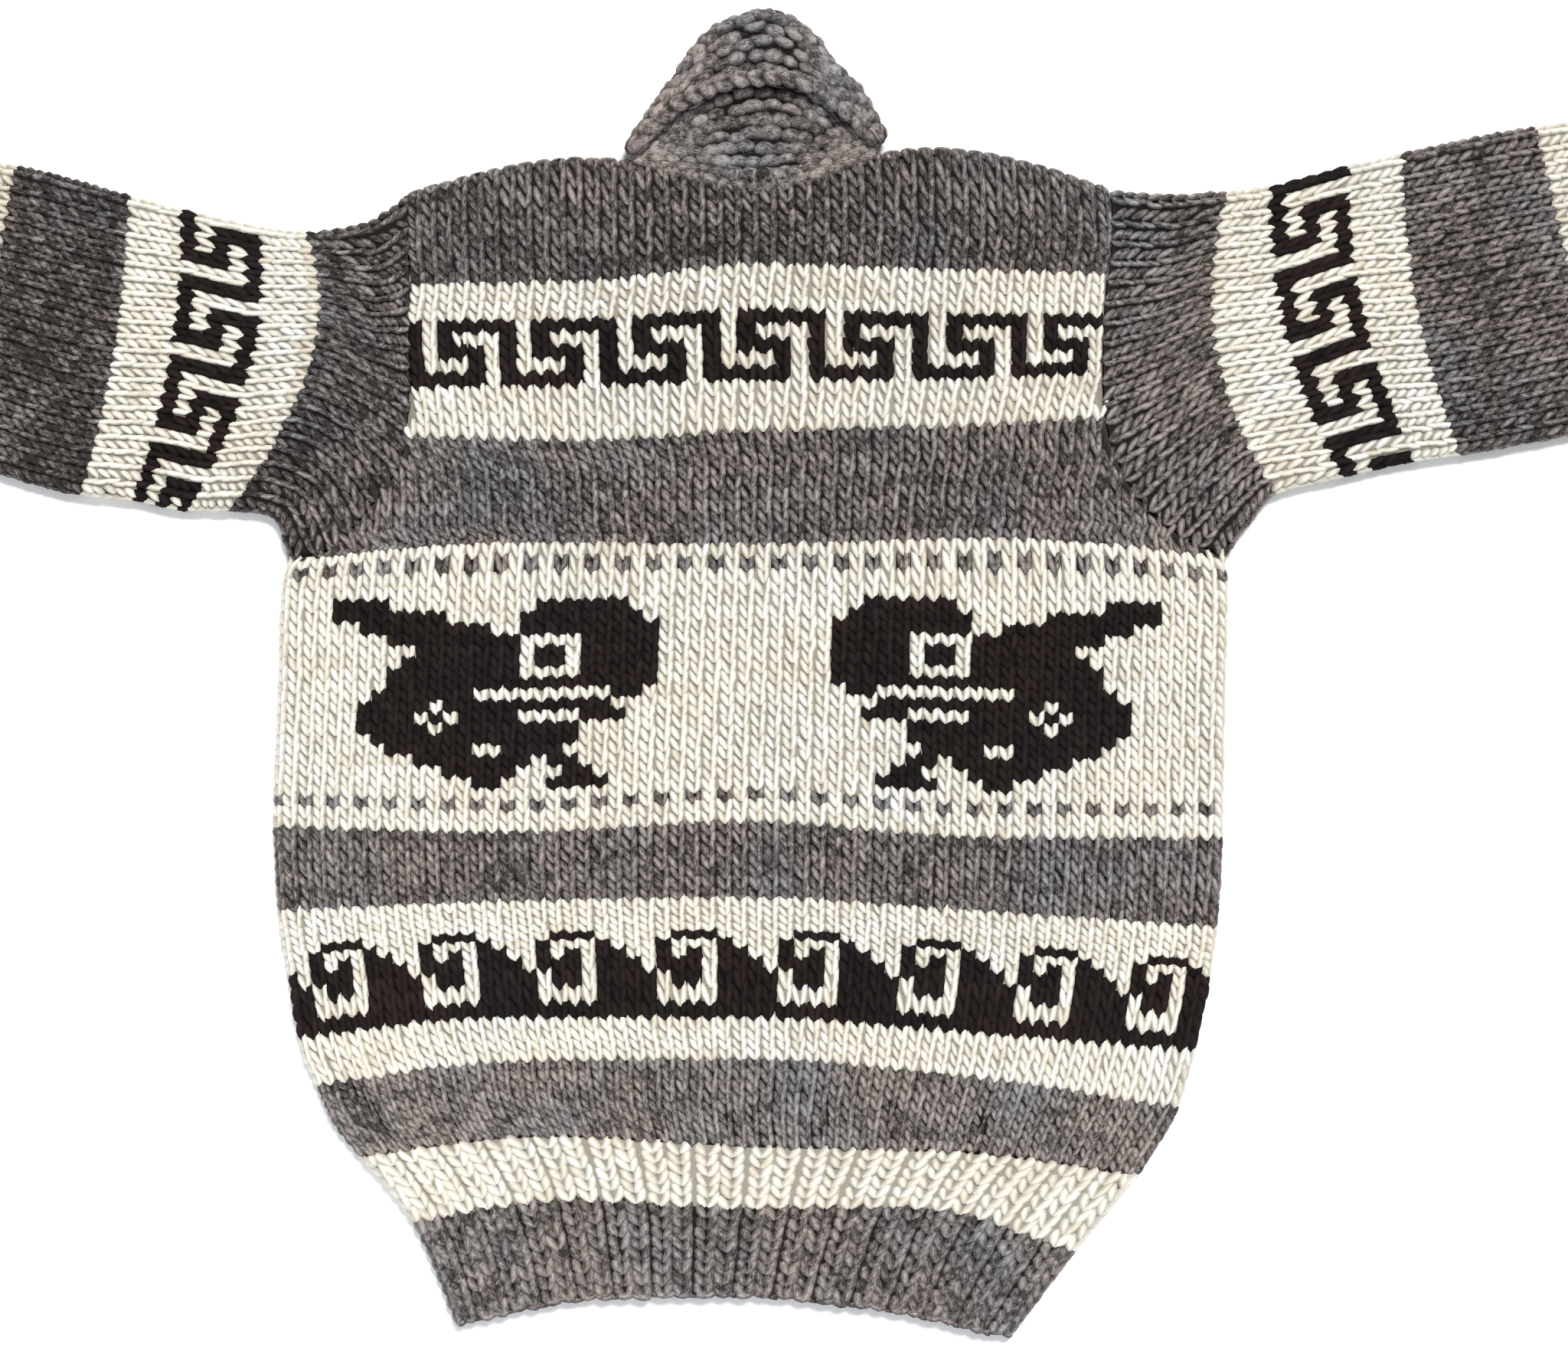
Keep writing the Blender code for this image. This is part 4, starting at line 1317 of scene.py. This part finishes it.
    def _fit_v(self, surface: Surface, w: np.ndarray, r: np.ndarray, limit: np.ndarray) -> np.ndarray:
        """Move a front's columns so that the inner one follows the neck edge.

        Args:
            surface: Face of the panel.
            w: Wales of the grid.
            r: Rows of the grid.
            limit: Wale of the outer edge in each row.

        Returns:
            The moved wales.
        """
        inner = np.zeros(len(w))
        for _ in range(6):
            point, _ = surface.at(inner, r[:, 0])
            near, _ = surface.at(inner + self.side, r[:, 0])
            pitch = np.maximum((near[:, 0] - point[:, 0]) * self.side, 4)
            inner = inner + (v_edge(self.side, point[:, 1]) + self.side * 0.2 - point[:, 0]) / pitch
        outer = limit * self.side
        share = np.linspace(0, 1, w.shape[1])
        first, last = (outer, inner) if self.side < 0 else (inner, outer)
        return first[:, None] * (1 - share) + last[:, None] * share


def v_edge(side: int, y: np.ndarray) -> np.ndarray:
    """Inner edge of a front: straight up, then sloping to the neck corner.

    Args:
        side: -1 for the left, 1 for the right.
        y: Heights.

    Returns:
        Places across.
    """
    corner = neck_corner(side)
    share = (np.asarray(y, float) - V_START) / (corner[1] - V_START)
    start = side * FRONT_OPEN
    return np.where(share > 0, start + (corner[0] - start) * share, start)


def neck_line(u: np.ndarray) -> np.ndarray:
    """Plan points of the neck seam.

    Args:
        u: Shares along it, left to right.

    Returns:
        Points.
    """
    top = np.array(BODY[-1][1:], float)
    share = NECK[0] + (NECK[1] - NECK[0]) * np.asarray(u, float)
    x = top[0] + (top[6] - top[0]) * share
    return np.stack([x, curve(QUARTERS, top[1:6], share)], axis=-1)


def neck_corner(side: int) -> np.ndarray:
    """End of the neck seam, on the left for side -1 and on the right for side 1."""
    return neck_line(np.array([0.0 if side < 0 else 1.0]))[0]


@dataclass
class SleevePanel(Panel):
    """Sleeve or cuff, all round.

    Attributes:
        side: 0 for the left, 1 for the right.
        cuff: Whether it is the ribbed cuff.
    """

    side: int = 0
    cuff: bool = False

    def build(self) -> None:
        """Make the shell and the yarn."""
        rng = np.random.default_rng(SEED + 50 + self.side + 10 * self.cuff)
        surface = sleeve_surface(self.side, self.cuff)
        bands, across = (CUFF_BANDS, CUFF_ACROSS) if self.cuff else (SLEEVE_BANDS, SLEEVE_ACROSS)
        count = row_count(bands)
        chart = colour_chart(bands, 2 * across)
        if self.side == 0:
            chart = chart[:, ::-1]
        w, r = np.meshgrid(np.arange(2 * across), np.linspace(0.05, count - 0.02, count + 1))
        line = np.clip(((r[:-1] + r[1:]) / 2).astype(int), 0, count - 1)
        self.lay_shell(surface, w.astype(float), r, chart[line, w[:-1]], ring=True)
        wale, row = np.meshgrid(np.arange(2 * across) + 0.5, np.arange(count))
        wale, row, yarn = wale.ravel(), row.ravel().astype(float), chart.ravel()
        over = wale < across
        fine = (LEFT_LEG, RIGHT_LEG, PURL_BUMP)
        for part, strands, tag in ((over, fine, ""),
                                   (~over, tuple(strand.coarse() for strand in fine), "_under")):
            if self.cuff:
                purl = (wale - 0.5) % 3 == 2
                knit, bumps = part & ~purl, part & purl
                self.yarns(surface, strands[:2], wale[knit], row[knit], yarn[knit], rng, tag, 1.15, count)
                self.yarns(surface, strands[2:], wale[bumps], row[bumps], yarn[bumps], rng, "_purl" + tag)
            else:
                self.yarns(surface, strands[:2], wale[part], row[part], yarn[part], rng, tag,
                           bias=SLEEVE_TONES[self.side])
        if self.cuff:
            mesh = YarnMesh()
            place = np.arange(2 * across) + 0.5
            mesh.lay(surface, EDGE_LOOP, place, np.full(len(place), count - 0.12), rng)
            self.claim_yarn(mesh, "edge")


@dataclass
class CollarForm:
    """Lines of the turned-down collar, all sampled at the same shares along it.

    Attributes:
        u: Shares along the collar.
        seam: Seam points.
        dome: Outer edge of the fold.
        lip: Free edge of the fall.
        centre: Height of the fold's axis.
        out: Directions from the seam out through the fold.
        fold: Centres of the fold.
        back: Directions from the fold to the lip.
        stand: Lengths of the stand.
        length: Lengths of the fall.
        lift: Extra height of the lip.
    """

    u: np.ndarray
    seam: np.ndarray
    dome: np.ndarray
    lip: np.ndarray
    centre: float = CLOTH * 2 + GAP * 1.5
    out: np.ndarray = field(init=False)
    fold: np.ndarray = field(init=False)
    back: np.ndarray = field(init=False)
    stand: np.ndarray = field(init=False)
    length: np.ndarray = field(init=False)
    lift: np.ndarray = field(init=False)

    def __post_init__(self) -> None:
        """Work out the fold's centres, the directions from them and the lengths of stand and fall."""
        away = self.dome - self.seam
        self.out = away / np.linalg.norm(away, axis=1)[:, None]
        self.fold = self.dome - self.out * ROUND
        self.length = np.linalg.norm(self.lip - self.fold, axis=1)
        self.back = (self.lip - self.fold) / self.length[:, None]
        self.lift = LIP_LIFT * np.sin(np.pi * self.u)
        self.stand = np.linalg.norm(self.fold - self.seam, axis=1)

    def face(self, v: np.ndarray, radius: float) -> np.ndarray:
        """Stand, rounded fold and fall at a distance from the fold's axis.

        The place along is 0 at the seam, 1 at the fold's lower side, 2 at its upper side and 3 at the lip.

        Args:
            v: Places along, as a column.
            radius: Distance from the axis.

        Returns:
            Points, places by columns by three.
        """
        a, far = np.clip(v, 0, 1)[..., None], np.clip(v - 2, 0, 1)[..., None]
        turn = np.pi * np.clip(v - 1, 0, 1)[..., None]
        plan = (self.seam + (self.fold - self.seam) * a + self.out * radius * np.sin(turn)
                + self.back * self.length[:, None] * far)
        z = self.centre - radius * np.cos(turn[..., 0]) + self.lift * far[..., 0]
        return np.dstack([plan, z])

    def outer(self, v: np.ndarray) -> np.ndarray:
        """Outer face, which dips at the lip.

        Args:
            v: Places along, as a column.

        Returns:
            Points, places by columns by three.
        """
        grid = self.face(v, ROUND)
        grid[..., 2] -= 3.0 * smooth((v - 2.7) / 0.3)
        return grid

    def stand_top(self, t: np.ndarray) -> np.ndarray:
        """Upper face of the stand, which shows below the lip.

        Args:
            t: Shares from the seam to the fold, as a column.

        Returns:
            Points, shares by columns by three.
        """
        plan = self.seam + (self.fold - self.seam) * t[..., None]
        return np.dstack([plan, np.full(plan.shape[:2], TOP_Z)])

    def lip_roll(self, turn: np.ndarray) -> np.ndarray:
        """Rounded edge that the braid lies on, fuller in the middle than at its ends.

        Args:
            turn: Angles round the edge, as a column.

        Returns:
            Points, angles by columns by three.
        """
        core = self.fold + self.back * (self.length[:, None] - 4.6)
        radius = 4.9 * (0.62 + 0.38 * np.sin(np.pi * self.u) ** 0.4)
        plan = core[None] + self.back[None] * (radius * np.cos(turn))[..., None]
        z = self.centre + GAP / 2 + 3.2 + self.lift + radius * np.sin(turn)
        return np.dstack([plan, np.maximum(z, self.centre - 2.5)])


@dataclass
class Collar(Panel):
    """Garter-stitch collar: it stands up from the neck and turns down over itself.

    Attributes:
        columns: Places along it that its form is worked out at.
        ridge: Width of a garter ridge, millimetres.
        bump: Width of a garter bump, millimetres.
        braid: Bumps of the lip's braid.
        depths: Shares of the cloth's thickness at which the shell's two faces lie.
    """

    columns: int = 61
    ridge: float = 4.4
    bump: float = 10.4
    braid: int = 17
    depths: tuple[float, float] = (0.40, 0.62)

    def build(self) -> None:
        """Make the shell, the bumps and the lip's braid."""
        rng = np.random.default_rng(SEED + 90)
        u = np.linspace(0, 1, self.columns)
        form = CollarForm(u, neck_line(u) + np.array([0.0, GAP]), by_length(DOME, self.columns),
                          by_length(LIP, self.columns))
        v = np.linspace(0, 3, 91)
        outer = Surface(u, v, form.outer(v[:, None]), True)
        inner = Surface(u, v, form.face(v[:, None], GAP / 2))
        steps = np.r_[np.linspace(0, 1, 5), np.linspace(1, 2, 7)[1:], np.linspace(2, 2.97, 7)[1:]]
        uu, vv = np.meshgrid(u[::2], steps)
        point, low = outer.at(uu, vv)[0], inner.at(uu, vv)[0]
        faces = (point + (low - point) * share for share in self.depths)
        self.claim(shell(self.node + "_cloth", *faces, self.wools,
                         np.zeros((len(steps) - 1, len(u[::2]) - 1), int)), True)
        share = np.linspace(-0.3, 1, 37)
        top = Surface(u, share, form.stand_top(share[:, None]))
        fall, stand = float(form.length.mean()), float(form.stand.mean())
        mesh = YarnMesh()
        self._garter(mesh, outer, 1.15, 2.0, ROUND * math.pi * 0.85, form.dome, rng)
        self._garter(mesh, outer, 2.0, 2.8, fall * 0.8, (form.dome + form.lip) / 2, rng)
        self._garter(mesh, top, -0.2, 0.93, stand * 1.1, (form.seam + form.dome) / 2, rng)
        self._braid(mesh, form, rng)
        self.claim_yarn(mesh, "grey")

    def _garter(self, mesh: YarnMesh, surface: Surface, first: float, last: float, run: float,
                line: np.ndarray, rng: np.random.Generator) -> None:
        """Rows of garter bumps along the collar.

        Args:
            mesh: Mesh to add to.
            surface: Face they lie on.
            first: First place along.
            last: Last place along.
            run: Distance between them, millimetres.
            line: Plan line whose length sets the number of bumps.
            rng: Source of the small differences.
        """
        ridges = max(int(round(run / self.ridge)), 1)
        step = (last - first) / ridges
        bumps = max(int(round(np.linalg.norm(np.diff(line, axis=0), axis=1).sum() / self.bump)), 3)
        scaled = surface.counted(surface.wales * bumps, surface.rows / step)
        for k in range(ridges):
            wale = np.arange(bumps) + 0.5 + 0.5 * (k % 2)
            wale = wale[wale < bumps - 0.2]
            row = first / step + k + 0.5 + rng.normal(0, 0.06, len(wale))
            mesh.lay(scaled, PEBBLE, wale + rng.normal(0, 0.06, len(wale)), row, rng, 1.5,
                     tone=np.full(len(wale), -0.3))
        along = (first / step + 0.2, last / step - 0.2)
        mesh.hairs(scaled, (0.3, bumps - 0.3), along, bumps * ridges * 3, rng)

    def _braid(self, mesh: YarnMesh, form: CollarForm, rng: np.random.Generator) -> None:
        """Thick slipped-stitch braid along the lip.

        Args:
            mesh: Mesh to add to.
            form: Lines of the collar.
            rng: Source of the small differences.
        """
        turn = np.linspace(-0.25, 1.1, 28) * math.pi
        surface = Surface(form.u * self.braid, turn / math.pi * 2, form.lip_roll(turn[:, None]))
        wale = np.arange(self.braid) + 0.5
        for strand in (LIP_IN, LIP_OUT):
            mesh.lay(surface, strand, wale, np.zeros(self.braid), rng, 1.3)


@dataclass
class Lapel(Panel):
    """Front part of the collar, filling the open neck under the collar.

    Attributes:
        side: -1 for the left, 1 for the right.
        ridges: Garter ridges along it.
        bumps: Garter bumps across it.
    """

    side: int = -1
    ridges: int = 29
    bumps: int = 6

    def build(self) -> None:
        """Make the shell and the bumps on the face that rests on the floor."""
        rng = np.random.default_rng(SEED + 120 + self.side)
        corner = neck_corner(self.side)
        low = np.array([112.0, 140.0, 175.0, 210.0, 245.0])
        rows = [(y, float(v_edge(self.side, y)) - self.side * GAP) for y in low]
        rows.append((corner[1], corner[0] - self.side * GAP))
        rows += [(y, self.side * (left if self.side < 0 else right)) for y, left, right in LAPEL_TOP]
        y, x = np.array(rows).T
        fine = np.linspace(y[0] + 0.5, y[-1] - 0.5, 61)
        edge = np.interp(fine, y, x)
        share = np.linspace(0, 1, 25)
        inner = np.full(len(fine), self.side * (FRONT_OPEN + 0.3))
        first, last = (edge, inner) if self.side < 0 else (inner, edge)
        plan_x = first[:, None] * (1 - share) + last[:, None] * share
        grid = np.dstack([plan_x, fine[:, None] + 0 * plan_x, 0 * plan_x])
        surface = Surface(share, np.linspace(0, 1, 61), grid, True)
        uu, vv = np.meshgrid(np.linspace(0, 1, 9), np.linspace(0, 1, 31))
        self.lay_shell(surface, uu, vv, np.zeros((30, 8), int))
        mesh = YarnMesh()
        wale, row = np.meshgrid(np.arange(self.bumps) + 0.5, np.arange(self.ridges) + 0.4)
        scaled = surface.counted(surface.wales * self.bumps, surface.rows * self.ridges)
        mesh.lay(scaled, GARTER.coarse(), wale.ravel(), row.ravel(), rng)
        self.claim_yarn(mesh, "grey")


# ---------------------------------------------------------------- floor, light, camera


@dataclass(frozen=True)
class Studio:
    """Plain pale floor, soft light and a camera looking straight down.

    Attributes:
        centre: Place that the camera looks at, metres.
        height: Height of the camera above the floor.
        cloth: Height of the cloth's face, where the width of the view is measured.
        view: Width of the view there.
        floor: Half the side of the floor.
    """

    centre: tuple[float, float] = (0.0147, 0.0)
    height: float = 1.8
    cloth: float = 0.01
    view: float = 0.8616
    floor: float = 12.0

    def build(self) -> None:
        """Make the floor, the lamps, the world and the camera."""
        mesh = bpy.data.meshes.new("floor")
        size = self.floor
        mesh.from_pydata([(-size, -size, 0), (size, -size, 0), (size, size, 0), (-size, size, 0)], [],
                         [(0, 1, 2, 3)])
        floor = bpy.data.objects.new("floor", mesh)
        bpy.context.scene.collection.objects.link(floor)
        material = bpy.data.materials.new("floor_paper")
        material.use_nodes = True
        fill_inputs(material.node_tree, material.node_tree.nodes["Principled BSDF"], {
            "Base Color": (0.93, 0.93, 0.93, 1), "Roughness": 0.9, "Specular IOR Level": 0.1})
        mesh.materials.append(material)
        for name, kind, place, width, power, tint in (
                ("key", "SUN", (0.7, 1.95, 3.0), 0.30, 3.95, (1.0, 0.985, 0.955)),
                ("fill", "AREA", (-0.8, -1.6, 1.6), 1.2, 25.0, (0.93, 0.96, 1.0))):
            data = bpy.data.lights.new(name, kind)
            if kind == "SUN":
                data.angle = width
            else:
                data.shape = "DISK"
                data.size = width
            data.energy = power
            data.color = tint
            lamp = bpy.data.objects.new(name, data)
            lamp.location = place
            lamp.rotation_euler = _look(-np.array(place) / np.linalg.norm(place))
            bpy.context.scene.collection.objects.link(lamp)
        world = bpy.data.worlds.new("studio")
        world.use_nodes = True
        fill_inputs(world.node_tree, world.node_tree.nodes["Background"],
                    {"Color": (0.95, 0.975, 1.0, 1), "Strength": 0.42})
        bpy.context.scene.world = world
        bpy.context.scene.view_settings.view_transform = "Standard"
        data = bpy.data.cameras.new("camera")
        data.sensor_width = 36.0
        data.lens = data.sensor_width * (self.height - self.cloth) / self.view
        camera = bpy.data.objects.new("camera", data)
        camera.location = (*self.centre, self.height)
        bpy.context.scene.collection.objects.link(camera)
        bpy.context.scene.camera = camera


def _look(aim: np.ndarray) -> tuple[float, float, float]:
    """Turn of a lamp whose own direction is straight down.

    Args:
        aim: Unit direction to look along.

    Returns:
        Euler angles.
    """
    tilt = math.acos(max(-1.0, min(1.0, -float(aim[2]))))
    return (tilt, 0.0, math.atan2(float(aim[0]), float(-aim[1])) + math.pi)


def main() -> None:
    logging.basicConfig(level=logging.INFO, format="%(name)s: %(message)s")
    Studio().build()
    wools = WoolSet((GREY_WOOL, CREAM_WOOL, DARK_WOOL))
    panels: dict[str, Panel] = {
        "back": BodyPanel("back", "wool_banded", wools),
        "back_rib": BodyPanel("back_rib", "wool_rib", wools, ribbed=True),
        "collar_back": Collar("collar_back", "wool_grey", wools),
    }
    for side, name in ((-1, "left"), (1, "right")):
        index = (side + 1) // 2
        panels[f"front_{name}"] = BodyPanel(f"front_{name}", "wool_banded", wools, upper=False, side=side)
        panels[f"front_rib_{name}"] = BodyPanel(f"front_rib_{name}", "wool_rib", wools, upper=False,
                                                ribbed=True, side=side)
        panels[f"sleeve_{name}"] = SleevePanel(f"sleeve_{name}", "wool_banded", wools, side=index)
        panels[f"cuff_{name}"] = SleevePanel(f"cuff_{name}", "wool_rib", wools, side=index, cuff=True)
        panels[f"lapel_{name}"] = Lapel(f"lapel_{name}", "wool_grey", wools, side=side)
    for panel in panels.values():
        panel.build()
        LOG.info("%s: shell and %d pieces of yarn", panel.node, len(panel.pieces))
    made = [obj for panel in panels.values() for obj in [panel.shell, *panel.pieces]]
    faces = [2 * len(obj.data.polygons) for obj in made]
    LOG.info("%d panels, %d pieces, %d triangles, most in one piece %d",
             len(panels), len(made), sum(faces), max(faces))


if __name__ == "__main__":
    main()
